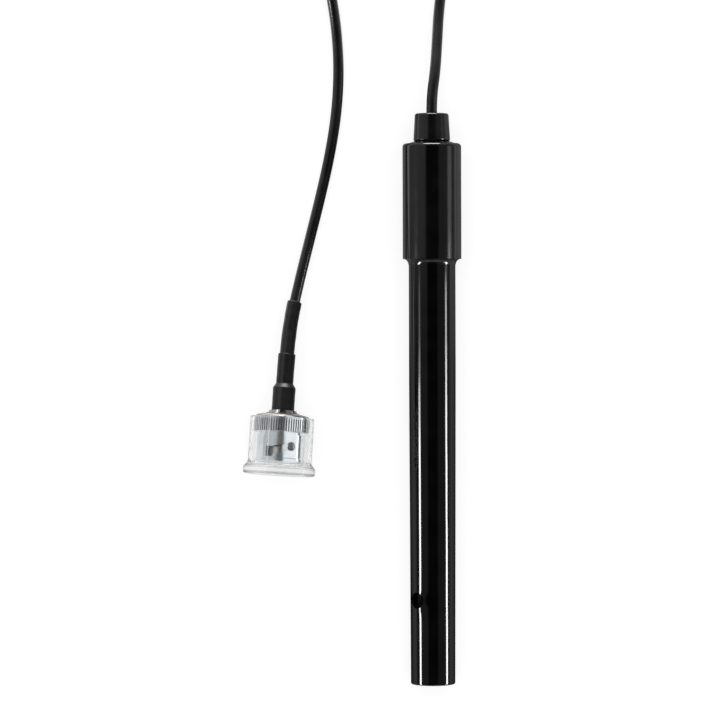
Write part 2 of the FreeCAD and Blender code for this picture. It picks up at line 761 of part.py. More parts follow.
def make_plug_body():
    """The plug's body: slit contact sleeve, flange, neck with a ring groove, and stem."""
    contact, hollow = "contact_diameter / 2", "contact_bore / 2"
    flange, neck = "collar_bore / 2 - running_gap", "neck_diameter / 2"
    seat, pin = "neck_diameter / 2 - ring_seat_depth", "pin_bore / 2"
    body = turned("plug_body", ON_PLUG, (
        (hollow, "contact_front"), (contact, "contact_front"), (contact, "flange_depth"),
        (flange, "flange_depth"), (flange, "flange_back"), (neck, "flange_back"),
        (neck, "ring_seat"), (seat, "ring_seat"), (seat, "ring_back + running_gap"),
        (neck, "ring_back + running_gap"), (neck, "neck_end"), ("stem_radius", "neck_end"),
        ("stem_radius", "stem_end"), (pin, "stem_end"), (pin, "insulator_back"),
        (hollow, "insulator_back"),
    ))
    slit = new_sketch(
        body, "contact_slits", "XY_Plane",
        "placement(vector(0; 0; contact_front); rotation(vector(0; 0; 1); 0))",
    )
    rectangle(slit, "0", "0", "collar_bore", "contact_slit")
    repeated(body, pocket(body, slit, "contact_slit_length"), "slit_pairs", "90")


def ring(label, inner, outer, front, back):
    """A plain ring on the plug's axis."""
    return turned(label, ON_PLUG, ((inner, front), (outer, front), (outer, back), (inner, back)))


def make_plug_inside():
    """The insulator, the centre pin, the gasket and the rings that hold the collar."""
    neck, nose = "neck_diameter / 2 + running_gap", "pin_diameter / 2 - 2 * pin_nose_round"
    ring("insulator", "pin_diameter / 2 + glue_gap", "contact_bore / 2 - glue_gap",
         "insulator_front", "insulator_back")
    pin = turned("centre_pin", ON_PLUG, (
        ("0", "pin_front"), (nose, "pin_front"),
        ("pin_diameter / 2", "pin_front + pin_nose_length"), ("pin_diameter / 2", "stem_end"),
        ("0", "stem_end"),
    ))
    rounded(pin, "pin_nose", ((nose, "pin_front"),), "pin_nose_round")
    ring("gasket", "contact_diameter / 2 + glue_gap", "collar_bore / 2 - ring_slack",
         "flange_depth - gasket_thickness", "flange_depth")
    ring("thrust_washer", neck, "collar_bore / 2 - running_gap", "wave_back", "washer_back")
    ring("snap_ring", "neck_diameter / 2 - ring_seat_depth + glue_gap", "ring_diameter / 2",
         "ring_face", "ring_back")
    turned("crimp_ferrule", ON_PLUG, (
        ("stem_radius + glue_gap", "ferrule_front"), ("ferrule_diameter / 2", "ferrule_front"),
        ("ferrule_diameter / 2", "ferrule_end"), ("cable_hole", "ferrule_end"),
        ("cable_hole", "stem_end + glue_gap"), ("stem_radius + glue_gap", "stem_end + glue_gap"),
    ))


def make_wave_washer():
    """The sprung washer: a thin ring that waves up and down three times round the neck."""
    inner = number("neck_diameter / 2 + running_gap")
    outer = number("collar_bore / 2 - ring_slack")
    half, height = number("wave_thickness / 2"), number("wave_height")
    middle, waves = number("wave_front"), number("wave_count")
    count = int(number("wave_sections"))
    sections = []
    for i in range(count):
        angle = 2 * math.pi * i / count
        level = middle + height * math.cos(waves * angle)
        corners = [
            Vector(r * math.cos(angle), r * math.sin(angle), level + side)
            for r, side in ((inner, -half), (outer, -half), (outer, half), (inner, half))
        ]
        sections.append(Part.makePolygon(corners + corners[:1]))
    washer = doc.addObject("Part::Feature", "wave_washer")
    washer.Shape = Part.makeLoft(sections, True, False, True)
    washer.setExpression("Placement", formula(ON_PLUG))
    nodes.append(washer)
    doc.recompute()


def on_axis(place, depth):
    """The point at a depth along the axis of the electrode or the plug."""
    return sheet.evalExpression(formula(place)).multVec(Vector(0, 0, depth))


def rounded_route(points, label):
    """Joins points by straight runs and tangent arcs, and prints the radii of the arcs."""
    edges, radii, here = [], [], points[0]
    for before, corner, after in zip(points, points[1:], points[2:]):
        back, ahead = before - corner, after - corner
        shorter = min(back.Length, ahead.Length)
        reach = ARC_SHARE * shorter
        start = corner + back * (reach / back.Length)
        end = corner + ahead * (reach / ahead.Length)
        half_turn = (math.pi - back.getAngle(ahead)) / 2
        radius = reach / math.tan(half_turn)
        inward = back.normalize() + ahead.normalize()
        centre = corner + inward.normalize() * (radius / math.cos(half_turn))
        middle = centre + (corner - centre).normalize() * radius
        edges.append(Part.LineSegment(here, start).toShape())
        edges.append(Part.Arc(start, middle, end).toShape())
        radii.append(round(radius, 1))
        here = end
    edges.append(Part.LineSegment(here, points[-1]).toShape())
    print(label, "arc radii", radii)
    return edges


def stretch(edges, start, end):
    """Cuts out the part of a route between two distances from its first point."""
    kept, done = [], 0.0
    for edge in edges:
        low, high = max(start - done, 0.0), min(end - done, edge.Length)
        if high > low:
            first, last = edge.getParameterByLength(low), edge.getParameterByLength(high)
            kept.append(edge.Curve.toShape(first, last))
        done += edge.Length
    return kept


def tube(edges, radius):
    """Sweeps a round section along a route."""
    path = Part.Wire(edges)
    start = path.Edges[0]
    spot = start.valueAt(start.FirstParameter)
    facing = start.tangentAt(start.FirstParameter)
    section = Part.Wire([Part.makeCircle(radius, spot, facing)])
    swept = path.makePipeShell([section], True, False)
    expected = math.pi * radius ** 2 * path.Length
    if abs(swept.Volume / expected - 1) > 0.01:
        raise RuntimeError("a tube's volume differs from its section times its length")
    return swept


def add_shape(label, shape):
    """Adds a piece whose shape is worked out from the sheet by the functions above."""
    piece = doc.addObject("Part::Feature", label)
    piece.Shape = shape
    nodes.append(piece)


def on_coil(turn, radius, height):
    """A point of the coil, by its turn and radius about the coil's centre."""
    angle = math.radians(number(turn))
    centre = Vector(number("coil_x"), number("coil_y"), height)
    return centre + Vector(math.cos(angle), math.sin(angle), 0) * number(radius)


def make_lead():
    """The lead's tubes on both sides of its coil, and the shrink sleeves near the plug."""
    cable = number("cable_diameter / 2")
    gland_end, stem_end = number("gland_end"), number("stem_end")
    from_gland = [on_axis(ON_ELECTRODE, gland_end), on_axis(ON_ELECTRODE, gland_end + LEAD_STUB)]
    from_gland += [Vector(*point) for point in LEAD_FROM_GLAND]
    from_gland.append(on_coil("coil_entry", "outer_turn", cable))
    add_shape("cable_from_gland", tube(rounded_route(from_gland, "from gland"), cable))
    to_plug = [on_axis(ON_PLUG, stem_end), on_axis(ON_PLUG, stem_end + PLUG_RUN)]
    to_plug += [Vector(*point) for point in reversed(LEAD_TO_PLUG)]
    to_plug.append(on_coil("coil_exit", "inner_exit_turn", number("cable_diameter / 2 + ring_pitch")))
    route = rounded_route(to_plug, "to plug")
    add_shape("cable_to_plug", tube(route, cable))
    jacket, sleeve = number("cable_hole"), number("sleeve_outer")
    inner = stretch(route, number("sleeve_start") - stem_end, number("inner_shrink_end") - stem_end)
    add_shape("inner_shrink", tube(inner, sleeve).cut(tube(inner, jacket)))
    make_outer_shrink(route)


def make_outer_shrink(route):
    """The short sleeve that is shrunk over the ferrule and down onto the longer sleeve."""
    stem_end = number("stem_end")
    front, shoulder = number("outer_shrink_front"), number("taper_start")
    taper_end, end = number("taper_end"), number("outer_shrink_end")
    wall = number("outer_shrink_wall")
    wide, slim = number("shrink_inner"), number("sleeve_outer + glue_gap")
    corners = [
        Vector(wide, 0, front), Vector(wide + wall, 0, front), Vector(wide + wall, 0, shoulder),
        Vector(slim + wall, 0, taper_end), Vector(slim, 0, taper_end), Vector(wide, 0, shoulder),
    ]
    profile = Part.Face(Part.makePolygon(corners + corners[:1]))
    cuff = profile.revolve(Vector(0, 0, 0), Vector(0, 0, 1), 360)
    cuff.Placement = sheet.evalExpression(formula(ON_PLUG))
    rear = stretch(route, taper_end - stem_end, end - stem_end)
    sleeve = tube(rear, slim + wall).cut(tube(rear, slim))
    add_shape("outer_shrink", cuff.fuse(sleeve).removeSplitter())


def check():
    """Stops if a feature failed, changed nothing or left a piece that isn't one sound solid."""
    for thing in doc.Objects:
        if {"Invalid", "Error"} & set(thing.State):
            raise RuntimeError(f"{thing.Label} failed")
        if thing.isDerivedFrom("PartDesign::Feature") and thing.TypeId in (
            "PartDesign::Pocket", "PartDesign::Groove", "PartDesign::SubtractiveHelix",
            "PartDesign::Fillet",
        ):
            change = thing.Shape.Volume - thing.BaseFeature.Shape.Volume
            fills = thing.TypeId == "PartDesign::Fillet" and change > VOLUME_CHANGE
            if not (fills or change < -VOLUME_CHANGE):
                raise RuntimeError(f"{thing.Label} changed nothing")
    for piece in nodes:
        shape = piece.Shape
        if shape.isNull() or not shape.isValid() or len(shape.Solids) != 1:
            raise RuntimeError(f"{piece.Label} isn't one valid solid")


def export():
    """Writes each piece to a file of its own."""
    os.makedirs("parts", exist_ok=True)
    for piece in nodes:
        piece.Shape.exportStep(os.path.join("parts", f"{piece.Label}.step"))
        print(piece.Label, round(piece.Shape.Volume, 1), "mm3")


fill_sheet()
make_shaft()
make_head()
make_gland()
make_cell_holder()
make_seal()
make_plate("plate_left", "-1")
make_plate("plate_right", "1")
cores = [make_core("core_left", "-1"), make_core("core_right", "1")]
make_potting(cores + [make_cable_tail()])
make_coil()
make_tie()
make_collar()
make_dust_cap()
make_plug_body()
make_plug_inside()
make_wave_washer()
make_lead()
check()
export()
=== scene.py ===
"""A conductivity electrode with its lead, bayonet plug and clear dust cap, dressed for the studio.

The electrode lies along +Y on the floor and Z points up. Lengths are in metres, apart from those
whose names end in _mm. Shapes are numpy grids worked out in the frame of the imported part.
"""

import logging
import math
from dataclasses import dataclass, field
from enum import Enum

import bmesh
import bpy
import numpy as np
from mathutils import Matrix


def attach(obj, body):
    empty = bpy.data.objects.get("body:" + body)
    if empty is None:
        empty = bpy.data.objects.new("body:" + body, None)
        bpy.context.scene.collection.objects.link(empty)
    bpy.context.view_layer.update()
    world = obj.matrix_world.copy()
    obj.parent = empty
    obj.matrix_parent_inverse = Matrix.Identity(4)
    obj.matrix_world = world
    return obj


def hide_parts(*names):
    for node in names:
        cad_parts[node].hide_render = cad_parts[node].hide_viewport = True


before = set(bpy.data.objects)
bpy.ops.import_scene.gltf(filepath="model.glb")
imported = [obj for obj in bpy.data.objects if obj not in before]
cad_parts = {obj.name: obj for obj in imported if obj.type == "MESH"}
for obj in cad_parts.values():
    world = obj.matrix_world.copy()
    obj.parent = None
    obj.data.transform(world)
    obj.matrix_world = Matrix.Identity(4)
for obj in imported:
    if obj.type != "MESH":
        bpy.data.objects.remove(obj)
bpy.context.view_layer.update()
MM = 1e-3
# The electrode's axis starts in the middle of its tip and dips towards it, in degrees.
ELECTRODE_MM = (0.0, -74.4397, 5.7992)
ELECTRODE_TILT = 0.95484
# The plug's starts in the middle of the cap's closed end, leans from +Y towards +X and dips.
PLUG_MM = (-40.1, -19.5, 9.5151)
PLUG_LEAN, PLUG_TILT = 3.7, 4.9004
# The height of the electrode's axis above the table in metres, about halfway along it.
AXIS_HEIGHT = 0.006
# Points closer than the first, in metres, are one. Edges shorter than the second have no length.
SAME_PLACE, NO_LENGTH = 2e-7, 1e-8
SHARP_DEGREES = 40.0
LIGHT_PATHS = ("Is Camera Ray", "Is Glossy Ray", "Is Transmission Ray", "Transmission Depth")
log = logging.getLogger("electrode")

Colour = tuple[float, float, float]
Triple = tuple[float, float, float]
Stops = tuple[tuple[float, float], ...]
Array = np.ndarray


class Body(Enum):
    """The rigid bodies that pieces ride on."""

    ELECTRODE = "electrode"
    CARRIAGE = "collar_carriage"
    COLLAR = "collar"
    CAP = "cap"


# ---------------------------------------------------------------- placements and grids


def turn_about(axis: int, degrees: float) -> Array:
    """Gives the 4x4 matrix of a turn about one row axis.

    Args:
        axis: 0, 1 or 2 for X, Y or Z.
        degrees: The angle, by the right-hand rule.

    Returns:
        The matrix, whose other two rows and columns hold cosines and sines.
    """
    matrix = np.eye(4)
    first, second = (axis + 1) % 3, (axis + 2) % 3
    cosine, sine = math.cos(math.radians(degrees)), math.sin(math.radians(degrees))
    matrix[first, first] = matrix[second, second] = cosine
    matrix[first, second], matrix[second, first] = -sine, sine
    return matrix


def moved_to(x_mm: float, y_mm: float, z_mm: float) -> Array:
    """Gives the 4x4 matrix of a move, from millimetres to metres."""
    matrix = np.eye(4)
    matrix[:3, 3] = np.array((x_mm, y_mm, z_mm)) * MM
    return matrix


def placed(points: Array, matrix: Array) -> Array:
    """Moves points by a 4x4 placement: turned first, and then shifted."""
    return points @ matrix[:3, :3].T + matrix[:3, 3]


def rounded_profile(corners: Array, radii: Array, steps: int = 7, closed: bool = False) -> Array:
    """Rounds the corners of a profile with arcs.

    Each corner is cut back by radius / tan(half its angle) on both sides, and the arc between the
    two cuts turns about a centre on the corner's bisector.

    Args:
        corners: The corners, one row of two numbers each.
        radii: One radius per corner, 0 for a sharp one.
        steps: Points on each arc.
        closed: Whether the last corner joins the first.

    Returns:
        The rounded profile's points in order.
    """
    corners = np.asarray(corners, float)
    pieces = []
    count = len(corners)
    for i, (corner, radius) in enumerate(zip(corners, radii)):
        if radius == 0 or (not closed and i in (0, count - 1)):
            pieces.append(corner[None])
            continue
        back = corners[i - 1] - corner
        ahead = corners[(i + 1) % count] - corner
        back, ahead = back / np.linalg.norm(back), ahead / np.linalg.norm(ahead)
        half = math.acos(float(np.clip(back @ ahead, -1, 1))) / 2
        reach = radius / math.tan(half)
        bisector = (back + ahead) / np.linalg.norm(back + ahead)
        centre = corner + bisector * (radius / math.sin(half))
        start, end = corner + back * reach - centre, corner + ahead * reach - centre
        sweep = math.pi - 2 * half
        share = np.linspace(0, 1, steps)[:, None]
        arc = (np.sin((1 - share) * sweep) * start + np.sin(share * sweep) * end) / math.sin(sweep)
        pieces.append(centre + arc)
    return np.concatenate(pieces)


def spaced(profile: Array, longest: float) -> Array:
    """Adds points to a profile, evenly on each side, until no side is longer than given."""
    parts = []
    for start, end in zip(profile[:-1], profile[1:]):
        count = max(1, math.ceil(float(np.linalg.norm(end - start)) / longest))
        share = np.arange(count)[:, None] / count
        parts.append(start + (end - start) * share)
    return np.concatenate(parts + [profile[-1:]])


def lathe(profile: Array, steps: int = 160) -> Array:
    """Turns a profile of radius and height about the Z axis.

    Point (i, j) is (r_i cos a_j, r_i sin a_j, h_i), where a_j runs once round in even steps.

    Args:
        profile: Rows of radius and height in millimetres.
        steps: Points round the axis.

    Returns:
        A grid of points in metres, closed in its second direction.
    """
    angle = np.arange(steps) * (2 * math.pi / steps)
    radius = profile[:, :1]
    height = np.broadcast_to(profile[:, 1:], (len(profile), steps))
    return np.stack((radius * np.cos(angle), radius * np.sin(angle), height), axis=-1) * MM


def grid_faces(rows: int, columns: int, wrap_rows: bool, wrap_columns: bool) -> Array:
    """Lists the four corners of each cell of a grid, with the wanted directions closed."""
    row = np.arange(rows if wrap_rows else rows - 1)[:, None]
    column = np.arange(columns if wrap_columns else columns - 1)[None, :]
    next_row, next_column = (row + 1) % rows, (column + 1) % columns
    corners = (
        row * columns + column, row * columns + next_column,
        next_row * columns + next_column, next_row * columns + column,
    )
    shape = np.broadcast_shapes(row.shape, column.shape)
    return np.stack([np.broadcast_to(corner, shape) for corner in corners], -1)


def new_piece(name: str, vertices: Array, faces: Array) -> bpy.types.Object:
    """Makes a mesh object of faces with four corners, and keeps its sharper edges sharp.

    Vertices in one place are merged, which closes poles and seams. A closed mesh whose signed
    volume, a sixth of the sum of the faces' triple products, is negative gets its faces turned.

    Args:
        name: The piece's name.
        vertices: Points in metres in the row frame.
        faces: Rows of four vertex numbers.

    Returns:
        The object, linked to the scene.
    """
    faces = faces.reshape(-1, 4)
    a, b, c, d = (vertices[faces[:, k]] for k in range(4))
    volume = (np.cross(a, b) * c).sum() + (np.cross(a, c) * d).sum()
    if volume < 0:
        faces = faces[:, ::-1]
    mesh = bpy.data.meshes.new(name)
    mesh.vertices.add(len(vertices))
    mesh.vertices.foreach_set("co", vertices.astype(np.float32).ravel())
    mesh.loops.add(faces.size)
    mesh.loops.foreach_set("vertex_index", faces.astype(np.int32).ravel())
    mesh.polygons.add(len(faces))
    mesh.polygons.foreach_set("loop_start", np.arange(0, faces.size, 4, dtype=np.int32))
    mesh.update(calc_edges=True)
    merged = bmesh.new()
    merged.from_mesh(mesh)
    bmesh.ops.remove_doubles(merged, verts=merged.verts, dist=SAME_PLACE)
    bmesh.ops.dissolve_degenerate(merged, edges=merged.edges, dist=NO_LENGTH)
    merged.to_mesh(mesh)
    merged.free()
    mesh.validate()
    mesh.shade_smooth()
    mesh.set_sharp_from_angle(angle=math.radians(SHARP_DEGREES))
    piece = bpy.data.objects.new(name, mesh)
    bpy.context.scene.collection.objects.link(piece)
    return piece


def turned_piece(name: str, profile: Array, place: Array, steps: int = 160) -> bpy.types.Object:
    """Makes a closed piece by turning a closed profile about a placed axis."""
    grid = placed(lathe(profile, steps), place)
    faces = grid_faces(len(profile), steps, True, True)
    return new_piece(name, grid.reshape(-1, 3), faces)


# ---------------------------------------------------------------- materials


class Signal:
    """A node's output, on which arithmetic adds Math nodes."""

    def __init__(self, graph: "Graph", socket: bpy.types.NodeSocket) -> None:
        """Keeps the socket and the graph that it is in."""
        self.graph = graph
        self.socket = socket

    def math(self, operation: str, *values: "Signal | float") -> "Signal":
        """Adds a Math node on the given values, in order."""
        return self.graph.add("ShaderNodeMath", {"operation": operation}, dict(enumerate(values)))

    def __add__(self, other: "Signal | float") -> "Signal":
        """Adds."""
        return self.math("ADD", self, other)

    def __radd__(self, other: float) -> "Signal":
        """Adds, from the right."""
        return self.math("ADD", other, self)

    def __sub__(self, other: "Signal | float") -> "Signal":
        """Subtracts."""
        return self.math("SUBTRACT", self, other)

    def __rsub__(self, other: float) -> "Signal":
        """Subtracts from a number."""
        return self.math("SUBTRACT", other, self)

    def __mul__(self, other: "Signal | float") -> "Signal":
        """Multiplies."""
        return self.math("MULTIPLY", self, other)

    def __rmul__(self, other: float) -> "Signal":
        """Multiplies, from the right."""
        return self.math("MULTIPLY", other, self)

    def rises(self, low: float, high: float) -> "Signal":
        """Goes smoothly from 0 at low to 1 at high, as 3t^2 - 2t^3."""
        return self.graph.add(
            "ShaderNodeMapRange", {"interpolation_type": "SMOOTHSTEP"},
            {"Value": self, "From Min": low, "From Max": high},
        )


class Graph:
    """The node tree of a material or of the world."""

    def __init__(self, tree: bpy.types.NodeTree) -> None:
        """Starts from an empty tree."""
        self.tree = tree
        tree.nodes.clear()

    def add(
        self,
        kind: str,
        settings: dict | None = None,
        inputs: dict | None = None,
        output: int | str = 0,
    ) -> Signal:
        """Adds a node.

        Args:
            kind: The node's type.
            settings: Attributes, set first. stops holds a ramp's positions and colours.
            inputs: Values or signals by the name or number of their sockets.
            output: The name or number of the wanted output.

        Returns:
            The node's output.
        """
        node = self.tree.nodes.new(kind)
        for key, value in (settings or {}).items():
            if key == "stops":
                self._fill_ramp(node.color_ramp, value)
            else:
                setattr(node, key, value)
        for key, value in (inputs or {}).items():
            if isinstance(value, Signal):
                self.tree.links.new(value.socket, node.inputs[key])
            else:
                node.inputs[key].default_value = value
        return Signal(self, node.outputs[output]) if len(node.outputs) else Signal(self, None)

    @staticmethod
    def _fill_ramp(ramp: bpy.types.ColorRamp, stops: tuple) -> None:
        """Sets a ramp's stops, each a position and a colour."""
        while len(ramp.elements) < len(stops):
            ramp.elements.new(1.0)
        for element, (position, colour) in zip(ramp.elements, stops):
            element.position = position
            element.color = (*colour, 1.0)

    def place(self, scale: Triple) -> Signal:
        """Gives Object coordinates, scaled per metre."""
        here = self.add("ShaderNodeTexCoord", output="Object")
        return self.add("ShaderNodeMapping", None, {"Vector": here, "Scale": scale})

    def in_plug(self, scale: Triple) -> Signal:
        """Gives coordinates in the plug's own frame, with Z along its axis, and scales them."""
        where = self.place((1.0, 1.0, 1.0))
        for settings in (
            {"Location": tuple(-v * MM for v in PLUG_MM)},
            {"Rotation": (0.0, 0.0, math.radians(PLUG_LEAN))},
            {"Rotation": (math.radians(90.0 + PLUG_TILT), 0.0, 0.0)},
            {"Scale": scale},
        ):
            where = self.add("ShaderNodeMapping", None, {"Vector": where, **settings})
        return where

    def noise(
        self, where: Signal, scale: float, detail: float = 3.0, roughness: float = 0.5
    ) -> Signal:
        """Gives a noise from 0 to 1 at a scale per unit of where."""
        inputs = {"Vector": where, "Scale": scale, "Detail": detail, "Roughness": roughness}
        return self.add("ShaderNodeTexNoise", None, inputs)

    def split(self, vector: Signal, *names: str) -> list[Signal]:
        """Gives the wanted parts of a vector."""
        node = self.add("ShaderNodeSeparateXYZ", None, {"Vector": vector}).socket.node
        return [Signal(self, node.outputs[name]) for name in names]

    def curve(self, along: Signal, stops: Stops) -> Signal:
        """Reads a value between given stops, each a place from 0 to 1 and its value, at most 2."""
        colours = tuple((place, (value / 2,) * 3) for place, value in stops)
        return 2.0 * self.add("ShaderNodeValToRGB", {"stops": colours}, {"Fac": along})

    def blend(self, share: Signal, first: Colour, second: Colour) -> Signal:
        """Mixes two plain colours by a share."""
        return self.mix(share, (*first, 1.0), second)

    def mix(self, share: Signal, first: Signal | tuple, second: Colour) -> Signal:
        """Mixes a colour with four channels, or a signal, with a second colour by a share."""
        inputs = {"Factor": share, 6: first, 7: (*second, 1.0)}
        return self.add("ShaderNodeMix", {"data_type": "RGBA"}, inputs, 2)

    def bump(self, height: Signal, depth: float) -> Signal:
        """Turns a height from 0 to 1 into a normal, for a relief of the given depth in metres."""
        inputs = {"Height": height, "Distance": depth, "Strength": 1.0}
        return self.add("ShaderNodeBump", None, inputs)

    def light_path(self) -> list[Signal]:
        """Gives whether a ray is a camera's, a glossy or a passing one, and its passes."""
        return [self.add("ShaderNodeLightPath", output=name) for name in LIGHT_PATHS]


@dataclass(frozen=True)
class Finish:
    """A plain dielectric finish with uneven gloss and a fine relief.

    Attributes:
        name: The material's name.
        colour: The base colour.
        worn: The colour that the mottling leads to.
        gloss: The lowest and highest roughness.
        relief: Depth of the relief in metres.
        grain: Grains of the relief per metre.
        streak: How much the grain is drawn out along Y, 1 for not at all.
        ior: Index of refraction.
        metallic: 1 for a metal.
    """

    name: str
    colour: Colour
    worn: Colour
    gloss: tuple[float, float] = (0.3, 0.4)
    relief: float = 4e-6
    grain: float = 2500.0
    streak: float = 1.0
    ior: float = 1.5
    metallic: float = 0.0

    def material(self) -> bpy.types.Material:
        """Makes the material, or gives the one already made."""
        made = bpy.data.materials.get(self.name)
        if made is not None:
            return made
        made = bpy.data.materials.new(self.name)
        made.use_nodes = True
        graph = Graph(made.node_tree)
        shader = graph.add("ShaderNodeBsdfPrincipled", None, self.inputs(graph), "BSDF")
        graph.add("ShaderNodeOutputMaterial", None, {"Surface": shader})
        return made

    def inputs(self, graph: Graph) -> dict:
        """Works out the values and signals of the surface shader."""
        where = graph.place((1.0, 1.0 / self.streak, 1.0))
        fine = graph.noise(where, self.grain, 3.0)
        patches = graph.noise(graph.place((1.0, 1.0, 1.0)), 160.0, 4.0)
        low, high = self.gloss
        return {
            "Base Color": graph.blend(patches.rises(0.35, 0.7), self.colour, self.worn),
            "Roughness": low + (high - low) * (0.5 * fine + 0.5 * patches.rises(0.3, 0.7)),
            "Metallic": self.metallic,
            "IOR": self.ior,
            "Normal": graph.bump(fine, self.relief),
        }


@dataclass(frozen=True)
class TurnedMetal(Finish):
    """Plated metal with fine turning marks round its axis and a little tarnish.

    Attributes:
        marks: Turning marks per metre of the axis.
    """

    metallic: float = 1.0
    marks: float = 5200.0

    def inputs(self, graph: Graph) -> dict:
        """Adds turning marks, a noise drawn out round the axis, to the plain finish's inputs."""
        found = super().inputs(graph)
        rings = graph.noise(graph.in_plug((60.0, 60.0, self.marks)), 1.0, 2.0)
        found["Normal"] = graph.bump(rings, self.relief)
        low, high = self.gloss
        spots = graph.noise(graph.place((1.0, 1.0, 1.0)), 420.0, 5.0, 0.6)
        found["Roughness"] = low + (high - low) * (0.35 * rings + 0.65 * spots.rises(0.4, 0.75))
        return found


@dataclass(frozen=True)
class KnurledMetal(TurnedMetal):
    """Plated metal with painted shade in its knurl grooves, a painted shadow along the cam slot's
    rear edge and a warmer domed end.

    Attributes:
        teeth: Grooves round the knurl.
        first_mm: Where the knurl starts on the plug's axis.
        last_mm: Where it runs out.
        runout_mm: The length in which it runs out.
        grip_mm: Where the knurled ring starts, as a radius.
        groove_shade: Painted shade for the knurl's grooves and the slot's edge, a dark colour in
            place of the shade there.
        ramp_mm: Depth of the cam slot's rear edge, along which the painted shadow runs, at its
            start.
        ramp_climb_mm: How far that edge climbs in each degree.
        ramp_turn: Where it starts, in degrees from the top of the plug.
        dome: The domed end's colour.
    """

    teeth: int = 72
    first_mm: float = 10.9
    last_mm: float = 14.4
    runout_mm: float = 0.5
    grip_mm: float = 6.8
    groove_shade: Colour = (0.03, 0.03, 0.03)
    ramp_mm: float = 6.6
    ramp_climb_mm: float = 0.0306
    ramp_turn: float = -25.6
    dome: Colour = (0.66, 0.58, 0.55)

    def inputs(self, graph: Graph) -> dict:
        """Paints shade into the grooves and a shadow along the slot's rear edge, both found from
        the turn about the axis.
        """
        found = super().inputs(graph)
        x, y, depth = graph.split(graph.in_plug((1 / MM, 1 / MM, 1 / MM)), "X", "Y", "Z")
        across = y.math("ARCTAN2", y, x) * float(self.teeth)
        # The grooves' mask, where painted shade darkens the knurl.
        groove_shade = across.math("COSINE", across).rises(-0.45, 0.35)
        radius = (x * x + y * y).math("SQRT", x * x + y * y)
        starts = depth.rises(self.first_mm, self.first_mm + 0.15)
        stops = depth.rises(self.last_mm - self.runout_mm, self.last_mm)
        turned = x.math("ARCTAN2", x, -1.0 * y) * math.degrees(1.0)
        # A painted shadow line along the cam slot's rear edge, from about -25 to +10 degrees.
        below = depth - self.ramp_mm - self.ramp_climb_mm * (turned - self.ramp_turn)
        painted_slot_shadow = 1.0 - below.math("ABSOLUTE", below).rises(0.12, 0.26)
        painted_slot_shadow = painted_slot_shadow * turned.rises(-25.0, -22.0) * (1.0 - turned.rises(6.0, 12.0))
        grip = radius.rises(self.grip_mm, self.grip_mm + 0.1)
        # The share of painted shade: grooves and the slot's painted shadow line, both made dark
        # and rougher.
        share = groove_shade * starts * (1.0 - stops) * grip + painted_slot_shadow
        tinted = graph.mix(depth.rises(14.2, 15.2), found["Base Color"], self.dome)
        found["Base Color"] = graph.mix(share, tinted, self.groove_shade)
        found["Roughness"] = found["Roughness"] + 0.3 * share
        return found


@dataclass(frozen=True)
class ClearPlastic(Finish):
    """Clear soft plastic, slightly milky, with a spark-eroded texture on its closed end.

    Attributes:
        clear: How much of the light goes through.
        frosted: How far the texture reaches from the closed end's middle, in metres.
    """

    clear: float = 0.94
    frosted: float = 6.9e-3

    def inputs(self, graph: Graph) -> dict:
        """Adds the light that goes through, and the closed end's texture."""
        found = super().inputs(graph)
        here = graph.in_plug((1.0, 1.0, 1.0))
        apart = graph.add("ShaderNodeVectorMath", {"operation": "LENGTH"}, {0: here}, "Value")
        end = 1.0 - apart.rises(self.frosted * 0.93, self.frosted)
        crystals = graph.noise(here, 2300.0, 4.0, 0.62)
        wavy = graph.noise(here, 330.0, 2.0)
        low, high = self.gloss
        found["Roughness"] = low + (high - low) * crystals * end + 0.03 * wavy
        found["Normal"] = graph.bump(crystals * end + 0.12 * wavy * (1.0 - end), self.relief)
        found["Transmission Weight"] = self.clear
        return found



